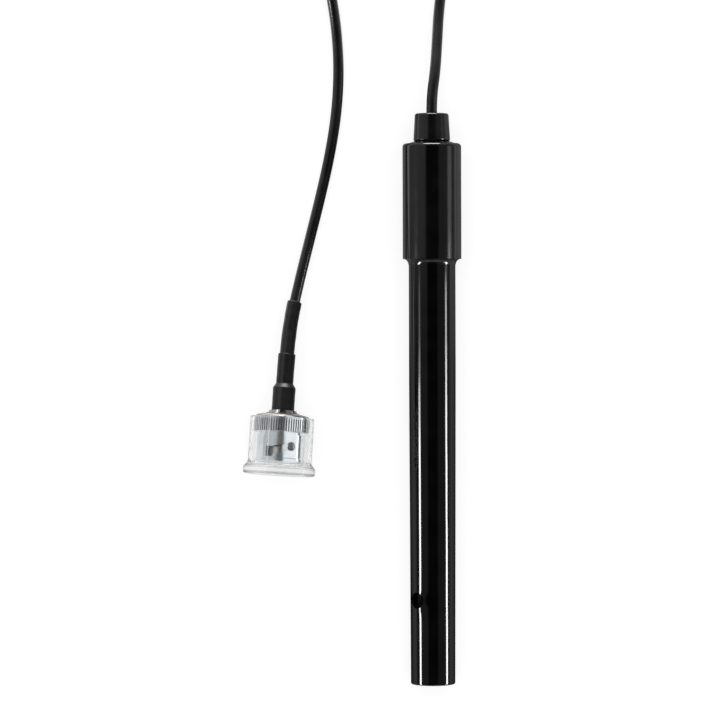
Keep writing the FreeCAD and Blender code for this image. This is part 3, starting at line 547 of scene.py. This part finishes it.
@dataclass(frozen=True)
class Palette:
    """Every finish of the object, by the piece that shows it."""

    shaft: Finish = Finish("shaft_gloss_black", (0.0012, 0.0012, 0.0014), (0.003, 0.003, 0.0035),
                           (0.05, 0.1), 1.2e-6, 1800.0, 4.0, ior=1.41)
    head: Finish = Finish("head_satin_black", (0.0015, 0.0015, 0.0018), (0.004, 0.004, 0.0045),
                          (0.1, 0.17), 2.5e-6, 1500.0, 2.0)
    gland: Finish = Finish("gland_rubber", (0.003, 0.003, 0.003), (0.007, 0.007, 0.007),
                           (0.14, 0.24), 3e-6, 2600.0)
    jacket: Finish = Finish("cable_jacket", (0.004, 0.004, 0.004), (0.009, 0.009, 0.009),
                            (0.22, 0.34), 5e-6, 1900.0, 3.0)
    shrink: Finish = Finish("shrink_sleeve", (0.0035, 0.0035, 0.0035), (0.008, 0.0075, 0.007),
                            (0.34, 0.5), 1.6e-5, 900.0, 2.0)
    holder: Finish = Finish("cell_insert", (0.015, 0.015, 0.016), (0.03, 0.03, 0.03), (0.35, 0.5))
    seal: Finish = Finish("seal_rubber", (0.012, 0.012, 0.012), (0.02, 0.02, 0.02), (0.4, 0.55))
    plates: Finish = Finish("platinised_plate", (0.05, 0.05, 0.052), (0.12, 0.12, 0.12),
                            (0.55, 0.8), 8e-6, 9000.0, metallic=0.7)
    white_core: Finish = Finish("core_white", (0.72, 0.72, 0.7), (0.66, 0.66, 0.63), (0.35, 0.5))
    red_core: Finish = Finish("core_red", (0.5, 0.03, 0.02), (0.42, 0.03, 0.02), (0.35, 0.5))
    resin: Finish = Finish("potting_resin", (0.02, 0.02, 0.022), (0.035, 0.035, 0.036), (0.2, 0.5))
    nickel: TurnedMetal = TurnedMetal("nickel_plate", (0.7, 0.71, 0.72), (0.6, 0.6, 0.6),
                                      (0.1, 0.26), 1.5e-6)
    collar: KnurledMetal = KnurledMetal("knurled_nickel", (0.76, 0.8, 0.84), (0.66, 0.71, 0.75),
                                        (0.1, 0.26), 1.5e-6)
    steel: TurnedMetal = TurnedMetal("spring_steel", (0.6, 0.6, 0.6), (0.52, 0.51, 0.5),
                                     (0.2, 0.4), 2e-6)
    gold: TurnedMetal = TurnedMetal("gold_plate", (0.86, 0.63, 0.27), (0.8, 0.56, 0.22),
                                    (0.14, 0.28), 1.5e-6)
    insulator: Finish = Finish("fluoroplastic", (0.86, 0.86, 0.84), (0.8, 0.8, 0.77), (0.35, 0.5))
    gasket: Finish = Finish("gasket_rubber", (0.02, 0.02, 0.02), (0.035, 0.035, 0.034), (0.5, 0.7))
    tie: Finish = Finish("tie_plastic", (0.014, 0.014, 0.014), (0.024, 0.024, 0.023), (0.35, 0.5))
    cap: ClearPlastic = ClearPlastic("clear_cap", (0.985, 0.99, 0.985), (0.975, 0.982, 0.978),
                                     (0.02, 0.5), 3e-5, ior=1.45)


PALETTE = Palette()


def dress(piece: bpy.types.Object, finish: Finish) -> None:
    """Gives a piece one finish all over."""
    piece.data.materials.clear()
    piece.data.materials.append(finish.material())


def dress_node(node: str, finish: Finish) -> None:
    """Gives a carried-over solid one finish all over."""
    dress(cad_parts[node], finish)
    log.info("dressed %s as %s", node, finish.name)


def settle(piece: bpy.types.Object, body: Body, finish: Finish, *nodes: str) -> bpy.types.Object:
    """Dresses a new piece, seats it on its body and lets it stand for its solids.

    Args:
        piece: The new piece.
        body: The body that it rides on.
        finish: Its finish.
        nodes: The solids that it stands for, which it hides.

    Returns:
        The piece.
    """
    dress(piece, finish)
    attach(piece, body.value)
    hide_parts(*nodes)
    log.info("made %s for %s", piece.name, ", ".join(nodes))
    return piece


# ---------------------------------------------------------------- the lead


@dataclass
class Lead:
    """The cable from the gland through its coil to the plug.

    Attributes:
        diameter_mm: Of the jacket.
        stub_mm: Straight length out of the gland.
        plug_run_mm: Straight length out of the plug.
        gland_end_mm: Where the cable leaves the gland, along the electrode's axis.
        stem_end_mm: Where it enters the plug's stem, along the plug's axis.
        coil_centre_mm: Middle of the coil in the row frame.
        coil_radius_mm: Mean radius of the coil's floor layer.
        entry_degrees: Where the cable joins the coil, from +X.
        exit_degrees: Where it leaves the last turn, from +X.
        turns: Whole turns of the coil.
        points_per_turn: Of the route.
        tie_degrees: Where the tie goes under the coil, from +X.
        tie_lift_mm: How far the tie lifts the turns.
        from_gland_mm: Points of the route between the gland's stub and the coil.
        to_plug_mm: Points of the route between the coil and the plug's run.
        cord: The cord, once it is made.
    """

    diameter_mm: float = 2.8
    stub_mm: float = 4.4
    plug_run_mm: float = 10.5
    gland_end_mm: float = 148.9
    stem_end_mm: float = 19.14
    coil_centre_mm: tuple[float, float] = (-12.0, 128.0)
    coil_radius_mm: float = 15.4
    entry_degrees: float = -20.0
    exit_degrees: float = 195.0
    turns: int = 8
    points_per_turn: int = 14
    tie_degrees: float = 62.0
    tie_lift_mm: float = 0.6
    from_gland_mm: tuple[Triple, ...] = (
        (1.0, 85.6, 7.25), (1.55, 93.6, 4.3), (2.1, 102.2, 1.75), (3.6, 113.4, 1.4),
    )
    to_plug_mm: tuple[Triple, ...] = (
        (-27.8, 115.4, 4.5), (-26.2, 106.6, 2.7), (-24.8, 97.6, 1.4), (-24.15, 86.6, 1.4),
        (-24.75, 75.6, 1.4), (-26.5, 64.6, 1.4), (-29.0, 53.6, 1.4), (-31.8, 42.6, 1.75),
        (-34.5, 31.8, 3.55), (-36.95, 21.0, 5.55),
    )
    cord: bpy.types.Object | None = field(default=None, init=False)

    def coil_line(self) -> Array:
        """Winds the coil in nine slots that lie on each other like stacked pipes.

        The radius and height step from one slot to the next by a smooth 3t^2 - 2t^3 over an eighth
        of a turn, ten degrees earlier in each turn, and the turns rise over the tie under them.

        Returns:
            The coil's points in millimetres.
        """
        d = self.diameter_mm
        low, rise = d / 2, d * math.sqrt(3) / 2
        offsets = np.array((1.5, 0.5, -0.5, -1.5, -1.0, -0.5, 0.0, 0.5, 1.0)) * d
        levels = low + rise * np.array((0, 0, 0, 0, 1, 2, 1, 2, 1))
        total = 360.0 * self.turns + self.exit_degrees - self.entry_degrees
        count = math.ceil(total / 360 * self.points_per_turn)
        turned = np.linspace(0, total, count + 1) + self.entry_degrees
        radius = np.full(len(turned), offsets[0])
        level = np.full(len(turned), levels[0])
        for k in range(len(offsets) - 1):
            middle = 360.0 * k + 300 - 10 * k
            share = np.clip((turned - middle) / 45 + 0.5, 0, 1)
            share = share * share * (3 - 2 * share)
            radius += share * (offsets[k + 1] - offsets[k])
            level += share * (levels[k + 1] - levels[k])
        apart = (turned - self.tie_degrees + 180) % 360 - 180
        level += self.tie_lift_mm * np.exp(-((apart / 22) ** 2))
        radius += self.coil_radius_mm
        angle = np.radians(turned)
        x = self.coil_centre_mm[0] + radius * np.cos(angle)
        y = self.coil_centre_mm[1] + radius * np.sin(angle)
        return np.stack((x, y, level), -1)

    def route(self, electrode: Array, plug: Array) -> Array:
        """Joins the gland, the coil and the plug.

        Args:
            electrode: The electrode's placement.
            plug: The plug's placement.

        Returns:
            The control points in metres.
        """
        gland, stem = self.gland_end_mm, self.stem_end_mm
        start = placed(np.array(((0, 0, gland), (0, 0, gland + self.stub_mm))) * MM, electrode)
        end = placed(np.array(((0, 0, stem + self.plug_run_mm), (0, 0, stem))) * MM, plug)
        middle = np.concatenate((self.from_gland_mm, self.coil_line(), self.to_plug_mm))
        return np.concatenate((start, middle * MM, end))

    def build(self, electrode: Array, plug: Array) -> bpy.types.Object:
        """Makes the cord as one spline through the route."""
        points = self.route(electrode, plug)
        curve = bpy.data.curves.new("lead_cable", "CURVE")
        curve.dimensions = "3D"
        spline = curve.splines.new("NURBS")
        spline.points.add(len(points) - 1)
        weighted = np.c_[points, np.ones(len(points))]
        spline.points.foreach_set("co", weighted.astype(np.float32).ravel())
        spline.order_u = 3
        spline.use_endpoint_u = True
        curve.resolution_u = 6
        curve.bevel_depth = self.diameter_mm / 2 * MM
        curve.bevel_resolution = 5
        curve.use_fill_caps = True
        self.cord = bpy.data.objects.new("lead_cable", curve)
        bpy.context.scene.collection.objects.link(self.cord)
        nodes = ("cable_to_plug", "cable_from_gland", "cable_coil")
        return settle(self.cord, Body.ELECTRODE, PALETTE.jacket, *nodes)

    def centreline(self) -> Array:
        """Reads the points of the cord's smooth line, from the gland to the plug."""
        bare = self.cord.data.copy()
        bare.bevel_depth = 0.0
        probe = bpy.data.objects.new("line_probe", bare)
        bpy.context.scene.collection.objects.link(probe)
        evaluated = probe.evaluated_get(bpy.context.evaluated_depsgraph_get())
        found = bpy.data.meshes.new_from_object(evaluated)
        points = np.zeros(len(found.vertices) * 3, np.float32)
        found.vertices.foreach_get("co", points)
        bpy.data.objects.remove(probe)
        bpy.data.curves.remove(bare)
        bpy.data.meshes.remove(found)
        return points.reshape(-1, 3).astype(float)


@dataclass
class Sleeves:
    """The two shrink sleeves, which follow the cable and grip it and the ferrule.

    Depths are on the plug's axis, from the plug's front.

    Attributes:
        stem_end_mm: Depth of the stem's end, where the cable starts.
        lead_in_mm: Length by which the cable's line is drawn out into the plug.
        jacket_mm: Bore radius of the long sleeve.
        thin_mm: Its outer radius.
        wide_mm: Outer radius of the short sleeve on the ferrule.
        front_mm: Depth of the short sleeve's front.
        shoulder_mm: Depth at which it starts to narrow, and of the long sleeve's front.
        taper_mm: Depth at which it is narrow.
        short_end_mm: Depth of its end.
        long_end_mm: Depth of the long sleeve's end.
        longest_mm: Longest step along the sleeves.
        lumps_mm: Height of their unevenness.
        steps: Points round them.
    """

    stem_end_mm: float = 19.14
    lead_in_mm: float = 4.0
    jacket_mm: float = 1.43
    thin_mm: float = 1.9
    wide_mm: float = 2.95
    front_mm: float = 16.75
    shoulder_mm: float = 22.64
    taper_mm: float = 23.74
    short_end_mm: float = 31.6
    long_end_mm: float = 45.5
    longest_mm: float = 0.35
    lumps_mm: float = 0.025
    steps: int = 64

    def sweep(self, name: str, line: Array, profile: Array) -> bpy.types.Object:
        """Carries a closed profile along the cable's line.

        Point (i, j) is the line's point at the profile's depth, plus the profile's radius along
        side cos a_j + up sin a_j. The radius swells and shrinks by a small sum of sines.

        Args:
            name: The piece's name.
            line: The line's points from the plug outwards, in metres.
            profile: Rows of depth on the plug's axis and radius, in millimetres.

        Returns:
            The sleeve.
        """
        first = line[1] - line[0]
        first = first / np.linalg.norm(first)
        line = np.concatenate((line[:1] - first * self.lead_in_mm * MM, line))
        steps = np.linalg.norm(np.diff(line, axis=0), axis=1)
        length = np.concatenate(([0.0], np.cumsum(steps)))
        depth = (profile[:, 0] - self.stem_end_mm + self.lead_in_mm) * MM
        here = np.stack([np.interp(depth, length, line[:, k]) for k in range(3)], -1)
        tangent = np.gradient(line, length, axis=0)
        tangent = np.stack([np.interp(depth, length, tangent[:, k]) for k in range(3)], -1)
        tangent /= np.linalg.norm(tangent, axis=1, keepdims=True)
        side = np.cross(tangent, (0.0, 0.0, 1.0))
        side /= np.linalg.norm(side, axis=1, keepdims=True)
        up = np.cross(side, tangent)
        angle = np.arange(self.steps) * (2 * math.pi / self.steps)
        along = profile[:, :1]
        wave = np.sin(2 * angle + along * 0.9) * 0.5 + np.sin(3 * angle - along * 1.7 + 1) * 0.3
        radius = (profile[:, 1:] + self.lumps_mm * (wave + 0.4 * np.sin(along * 2.3))) * MM
        ring = side[:, None] * np.cos(angle)[:, None] + up[:, None] * np.sin(angle)[:, None]
        grid = here[:, None] + ring * radius[..., None]
        faces = grid_faces(len(profile), self.steps, True, True)
        return new_piece(name, grid.reshape(-1, 3), faces)

    def build(self, line: Array) -> list[bpy.types.Object]:
        """Makes the long thin sleeve and the short one over the ferrule."""
        jacket, thin, wide = self.jacket_mm, self.thin_mm, self.wide_mm
        long_one = rounded_profile(
            ((self.shoulder_mm, jacket), (self.long_end_mm, jacket), (self.long_end_mm, thin),
             (self.shoulder_mm, thin)), (0, 0.05, 0.22, 0), closed=True,
        )
        snug, wall = thin + 0.05, 0.3
        short_one = rounded_profile(
            ((self.front_mm, wide - wall), (self.shoulder_mm, wide - wall), (self.taper_mm, snug),
             (self.short_end_mm, snug), (self.short_end_mm, snug + wall),
             (self.taper_mm, snug + wall), (self.shoulder_mm, wide), (self.front_mm, wide)),
            (0.05, 0.3, 0.3, 0.05, 0.16, 0.6, 0.6, 0.12), closed=True,
        )
        made = []
        for name, profile, node in (
            ("shrink_long", long_one, "inner_shrink"), ("shrink_short", short_one, "outer_shrink"),
        ):
            closed = np.concatenate((profile, profile[:1]))
            piece = self.sweep(name, line, spaced(closed, self.longest_mm)[:-1])
            made.append(settle(piece, Body.ELECTRODE, PALETTE.shrink, node))
        return made


# ---------------------------------------------------------------- the plug and the electrode


ELECTRODE_PLACE = moved_to(*ELECTRODE_MM) @ turn_about(0, ELECTRODE_TILT - 90)
PLUG_PLACE = moved_to(*PLUG_MM) @ turn_about(2, -PLUG_LEAN) @ turn_about(0, -90 - PLUG_TILT)


@dataclass
class DustCap:
    """The clear push-on cap: a cup with a flared flange round its closed end.

    Attributes:
        length_mm: Its whole length.
        body_mm: Outer radius of the cup.
        bore_mm: Inner radius.
        flange_mm: Radius of the flange.
        flange_thickness_mm: Thickness of the flange's rim.
        end_wall_mm: Thickness of the closed end.
        flare_mm: Length of the flare between flange and cup.
        dish_mm: Inner and outer radius of the step round the closed end's dish.
        dish_depth_mm: How deep the dish is.
        longest_mm: Longest step of the turned outline.
        steps: Points round the axis.
    """

    length_mm: float = 14.8
    body_mm: float = 8.3
    bore_mm: float = 7.3
    flange_mm: float = 9.4
    flange_thickness_mm: float = 1.75
    end_wall_mm: float = 1.7
    flare_mm: float = 1.35
    dish_mm: tuple[float, float] = (6.6, 7.1)
    dish_depth_mm: float = 0.25
    longest_mm: float = 0.9
    steps: int = 192

    def build(self) -> bpy.types.Object:
        """Turns the cap's closed outline, with its edges rounded."""
        body, bore, flange = self.body_mm, self.bore_mm, self.flange_mm
        thick, flare = self.flange_thickness_mm, self.flare_mm
        outline = rounded_profile(
            ((0, self.dish_depth_mm), (self.dish_mm[0], self.dish_depth_mm), (self.dish_mm[1], 0),
             (flange, 0), (flange, thick), (body, thick + flare), (body, self.length_mm),
             (bore, self.length_mm), (bore, self.end_wall_mm), (0, self.end_wall_mm)),
            (0, 0.3, 0.3, 0.45, 0.45, 0.9, 0.22, 0.2, 0.6, 0),
        )
        profile = spaced(outline, self.longest_mm)
        piece = turned_piece("clear_dust_cap", profile, PLUG_PLACE, self.steps)
        return settle(piece, Body.CAP, PALETTE.cap, "dust_cap")


@dataclass
class Plug:
    """The bayonet plug: the solids that keep their shape, and the clear cap over them."""

    cap: DustCap = field(default_factory=DustCap)

    def build(self) -> None:
        """Dresses the plug's solids and makes its cap."""
        for node, finish in (
            ("coupling_collar", PALETTE.collar), ("plug_body", PALETTE.nickel),
            ("crimp_ferrule", PALETTE.nickel), ("thrust_washer", PALETTE.steel),
            ("wave_washer", PALETTE.steel), ("snap_ring", PALETTE.steel),
            ("centre_pin", PALETTE.gold), ("insulator", PALETTE.insulator),
            ("gasket", PALETTE.gasket),
        ):
            dress_node(node, finish)
        self.cap.build()


@dataclass
class Electrode:
    """The electrode itself: shaft, head, gland and measuring cell."""

    def build(self) -> None:
        """Dresses the electrode's solids."""
        for node, finish in (
            ("shaft_tube", PALETTE.shaft), ("head", PALETTE.head), ("cable_gland", PALETTE.gland),
            ("cell_holder", PALETTE.holder), ("cell_seal", PALETTE.seal),
            ("plate_left", PALETTE.plates), ("plate_right", PALETTE.plates),
            ("core_left", PALETTE.white_core), ("core_right", PALETTE.red_core),
            ("cable_tail", PALETTE.jacket), ("potting", PALETTE.resin), ("coil_tie", PALETTE.tie),
        ):
            dress_node(node, finish)


# ---------------------------------------------------------------- the studio


@dataclass(frozen=True)
class Lamp:
    """A soft rectangular lamp that faces the object.

    Attributes:
        name: The lamp's name.
        size: Its width across and its level length, in metres.
        radiance: Its brightness, where 1 is white.
        steep: Its angle from straight up, in degrees.
        heading: The side that it stands on, in degrees from +X towards +Y.
        centre: The point that it faces, in metres.
        distance: From that point, in metres.
        soft: Whether it gives soft light, or else is only seen in reflections.
        through: Whether it is seen through clear plastic.
    """

    name: str
    size: tuple[float, float]
    radiance: float
    steep: float
    heading: float = 0.0
    centre: Triple = (0.0, 0.0, AXIS_HEIGHT)
    distance: float = 0.6
    soft: bool = False
    through: bool = True

    def hang(self, lit: list[bpy.types.Object] | None = None) -> None:
        """Hangs the lamp.

        Args:
            lit: The only pieces that it lights, or None for all.
        """
        data = bpy.data.lights.new(self.name, "AREA")
        data.shape = "RECTANGLE"
        data.size, data.size_y = self.size
        data.energy = self.radiance * math.pi * self.size[0] * self.size[1]
        lamp = bpy.data.objects.new(self.name, data)
        turn, heading = math.radians(self.steep), math.radians(self.heading)
        level = math.sin(turn)
        away = (level * math.cos(heading), level * math.sin(heading), math.cos(turn))
        lamp.location = np.array(self.centre) + self.distance * np.array(away)
        lamp.rotation_euler = (0.0, turn, heading)
        lamp.visible_glossy = not self.soft
        lamp.visible_transmission = self.through and not self.soft
        lamp.visible_diffuse = self.soft
        bpy.context.scene.collection.objects.link(lamp)
        if lit is not None:
            group = bpy.data.collections.new(f"lit_by_{self.name}")
            for piece in lit:
                group.objects.link(piece)
            lamp.light_linking.receiver_collection = group


@dataclass
class Studio:
    """A white table, two long strip lights beside it, soft light from above and the camera.

    Attributes:
        picture_px: Width of the picture.
        focal_px: The lens's focal length, in the picture's pixels.
        sensor_mm: Width of the sensor.
        camera_at: Where the camera stands, in metres.
        camera_roll: Its turn about its axis, in degrees.
        tip_end: Where the electrode's tip ends along Y.
        head_end: Where its head ends along Y.
        strip_width: Of the strip lights, in metres.
        left_strip: Lengths of the left one: start and end along Y, angle and radiance.
        right_strip: Lengths of the right one.
        painted_under_shaft: The table's painted brightness as the shaft reflects it, against the
            distance from its axis in tenths of a metre: painted shade near the axis, painted light
            beyond.
        painted_left_of_head: The same painted shade and light in the head's left half.
        painted_right_of_head: The same in the head's right half.
    """

    picture_px: float = 705.0
    focal_px: float = 3300.0
    sensor_mm: float = 36.0
    camera_at: Triple = (-0.02083, 0.0122, 0.8686)
    camera_roll: float = -0.174
    tip_end: float = -0.0745
    head_end: float = 0.056
    strip_width: float = 0.097
    left_strip: tuple[tuple[float, float, float, float], ...] = (
        (-0.49, -0.04, 69.0, 36.0), (-0.04, -0.02, 69.0, 20.0), (-0.02, 0.0, 67.5, 6.0),
        (0.0, 0.03, 67.0, 2.0),
    )
    right_strip: tuple[tuple[float, float, float, float], ...] = (
        (-0.43, -0.12, 76.0, 36.0), (-0.12, -0.08, 74.5, 36.0), (-0.08, -0.05, 72.8, 36.0),
        (-0.05, -0.025, 71.0, 30.0), (-0.025, 0.0, 70.3, 22.0), (0.0, 0.03, 70.0, 13.0),
    )
    painted_under_shaft: Stops = (
        (0.085, 0.0), (0.12, 0.08), (0.16, 0.2), (0.2, 0.33), (0.3, 0.5), (0.5, 0.6), (1.0, 0.42),
    )
    painted_left_of_head: Stops = (
        (0.1, 0.2), (0.16, 0.43), (0.2, 0.25), (0.26, 0.08), (0.31, 0.5), (0.36, 1.3), (0.45, 1.5),
        (0.55, 1.4), (0.7, 0.8), (1.0, 0.35),
    )
    painted_right_of_head: Stops = (
        (0.1, 0.1), (0.15, 0.25), (0.2, 0.5), (0.4, 0.55), (0.5, 1.0), (0.62, 1.1), (0.75, 0.6),
        (1.0, 0.4),
    )

    def painted_table_reflection(self, graph: Graph) -> Signal:
        """Paints the table's brightness in reflections by its distance from the electrode: painted
        shade of the object's shadow close to it and painted light farther out.
        """
        x, y = graph.split(graph.add("ShaderNodeTexCoord", output="Object"), "X", "Y")
        beyond = y.math("MAXIMUM", y - self.head_end, self.tip_end - y)
        apart = x.math("MAXIMUM", x.math("ABSOLUTE", x), beyond) * 10.0
        curves = (self.painted_under_shaft, self.painted_left_of_head, self.painted_right_of_head)
        shaft, left, right = (graph.curve(apart, stops) for stops in curves)
        side = x.rises(-0.001, 0.001)
        head = y.rises(0.004, 0.024)
        return shaft * (1.0 - head) + (right * side + left * (1.0 - side)) * head

    def floor(self) -> None:
        """Lays a pale floor that looks white and keeps a soft shadow."""
        half, level = 3.0, -2e-5
        mesh = bpy.data.meshes.new("floor")
        signs = ((-1, -1), (1, -1), (1, 1), (-1, 1))
        corners = [(x * half, y * half, level) for x, y in signs]
        mesh.from_pydata(corners, [], [(0, 1, 2, 3)])
        surface = bpy.data.materials.new("white_table")
        surface.use_nodes = True
        graph = Graph(surface.node_tree)
        camera, glossy, through, depth = graph.light_path()
        inside = depth.math("GREATER_THAN", depth, 0.5)
        seen = camera.math("MAXIMUM", camera, through.math("MAXIMUM", through, glossy * inside))
        matt = graph.add("ShaderNodeBsdfDiffuse", None, {"Color": (0.42, 0.42, 0.42, 1.0)})
        glow = graph.add("ShaderNodeEmission", None, {"Strength": 0.8 * seen})
        both = graph.add("ShaderNodeAddShader", None, {0: matt, 1: glow})
        # In reflections outside the cap the table shows this painted brightness, not its lit
        # surface: painted shade near the electrode and painted light beyond it.
        painted_reflection = graph.add("ShaderNodeEmission", None, {"Strength": self.painted_table_reflection(graph)})
        shaders = {0: glossy * (1.0 - inside), 1: both, 2: painted_reflection}
        table = graph.add("ShaderNodeMixShader", None, shaders)
        graph.add("ShaderNodeOutputMaterial", None, {"Surface": table})
        mesh.materials.append(surface)
        floor = bpy.data.objects.new("floor", mesh)
        bpy.context.scene.collection.objects.link(floor)

    def world(self) -> None:
        """Gives the studio its dim walls, which look brighter through the clear cap."""
        world = bpy.data.worlds.new("studio")
        bpy.context.scene.world = world
        world.use_nodes = True
        graph = Graph(world.node_tree)
        x, y, z = graph.split(graph.add("ShaderNodeTexCoord", output="Generated"), "X", "Y", "Z")
        angle = x.math("ARCTAN2", x, z) * math.degrees(1.0)
        opposite = -1.0 * angle
        low_left = opposite.rises(76, 84) * (1.0 - y.rises(-0.01, 0.02))
        ends = 0.3 * y.rises(0.25, 0.45) + 0.8 * y.rises(0.65, 0.85)
        ends = ends + 0.8 * (-1.0 * y).rises(0.65, 0.85)
        left, right = opposite.rises(20, 32), angle.rises(20, 30)
        walls = 0.02 + 0.3 * left - 0.2 * low_left + 0.24 * right + ends
        walls = walls + 0.26 * left * y.rises(-0.014, 0.0)
        through_cap = 0.07 + 0.75 * opposite.rises(6, 30) + 1.6 * angle.rises(8, 24)
        camera, glossy, through, depth = graph.light_path()
        inside = depth.math("GREATER_THAN", depth, 0.5)
        seen = glossy.math("MAXIMUM", glossy, through)
        level = inside * through_cap + (1.0 - inside) * walls
        level = seen * level + (1.0 - seen) * 0.45
        level = camera + (1.0 - camera) * level
        backdrop = graph.add("ShaderNodeBackground", None, {"Strength": level})
        graph.add("ShaderNodeOutputWorld", None, {"Surface": backdrop})

    def lamps(self, electrode: list[bpy.types.Object], plug: list[bpy.types.Object]) -> None:
        """Hangs the lamps: strips beside the electrode, small ones for the plug, and one overhead.

        Args:
            electrode: The pieces that the strips light.
            plug: The pieces that have small lamps of their own.
        """
        strips = (("left", 180.0, self.left_strip), ("right", 0.0, self.right_strip))
        for side, heading, lengths in strips:
            for k, (start, end, steep, radiance) in enumerate(lengths):
                centre = (0.0, (start + end) / 2, AXIS_HEIGHT)
                size = (self.strip_width, end - start)
                Lamp(f"strip_{side}_{k}", size, radiance, steep, heading, centre).hang(electrode)
        by_head, by_plug = (0.0, 0.07, AXIS_HEIGHT), (-0.04, 0.0, 0.008)
        gland = [piece for piece in electrode if piece.name == "cable_gland"]
        collar = [piece for piece in plug if piece.name == "coupling_collar"]
        sleeves = [piece for piece in plug if piece.name.startswith("shrink")]
        Lamp("head_fill", (0.2, 0.1), 0.9, 72.0, 0.0, (0.0, 0.084, AXIS_HEIGHT)).hang(electrode)
        Lamp("beyond_gland", (0.2, 0.4), 22.0, 80.0, 90.0, by_head).hang([*electrode, *sleeves])
        Lamp("before_gland", (0.3, 0.2), 15.0, 42.0, -90.0, by_head).hang(gland)
        Lamp("beyond_collar", (0.12, 0.12), 9.0, 62.0, 90.0, by_plug).hang(collar)
        Lamp("plug_left", (0.05, 0.4), 4.0, 45.0, 180.0, by_plug, through=False).hang(plug)
        Lamp("plug_right", (0.04, 0.4), 3.0, 87.0, 0.0, by_plug).hang(plug)
        Lamp("overhead", (1.6, 1.6), 0.9, 0.0, distance=1.6, soft=True).hang()

    def camera(self) -> None:
        """Sets the camera straight above, as far as the photograph's perspective shows."""
        data = bpy.data.cameras.new("camera")
        data.sensor_width = self.sensor_mm
        data.lens = self.focal_px / self.picture_px * self.sensor_mm
        data.clip_start, data.clip_end = 0.05, 20.0
        camera = bpy.data.objects.new("camera", data)
        camera.location = self.camera_at
        camera.rotation_euler = (0.0, 0.0, math.radians(self.camera_roll))
        bpy.context.scene.collection.objects.link(camera)
        bpy.context.scene.camera = camera

    def build(self, electrode: list[bpy.types.Object], plug: list[bpy.types.Object]) -> None:
        """Sets up the whole studio round the electrode's and the plug's pieces."""
        bpy.context.scene.view_settings.view_transform = "Standard"
        self.floor()
        self.world()
        self.lamps(electrode, plug)
        self.camera()


def main() -> None:
    """Builds the pieces in order."""
    logging.basicConfig(level=logging.INFO, format="%(name)s: %(message)s")
    lead = Lead()
    cord = lead.build(ELECTRODE_PLACE, PLUG_PLACE)
    sleeves = Sleeves().build(lead.centreline()[::-1])
    Electrode().build()
    Plug().build()
    carried = [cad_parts[n] for n in (
        "coil_tie", "crimp_ferrule", "plug_body", "insulator", "centre_pin", "gasket",
        "wave_washer", "thrust_washer", "snap_ring", "coupling_collar",
    )]
    cap = bpy.data.objects["clear_dust_cap"]
    exit_point = placed(np.array((0.0, 0.0, lead.gland_end_mm * MM)), ELECTRODE_PLACE)
    plug = [*sleeves, *(piece for piece in carried if piece.name != "coil_tie"), cap]
    electrode = [cord, *(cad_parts[n] for n in (
        "shaft_tube", "head", "cable_gland", "cell_holder", "cable_tail", "coil_tie",
    ))]
    Studio().build(electrode, plug)


if __name__ == "__main__":
    main()
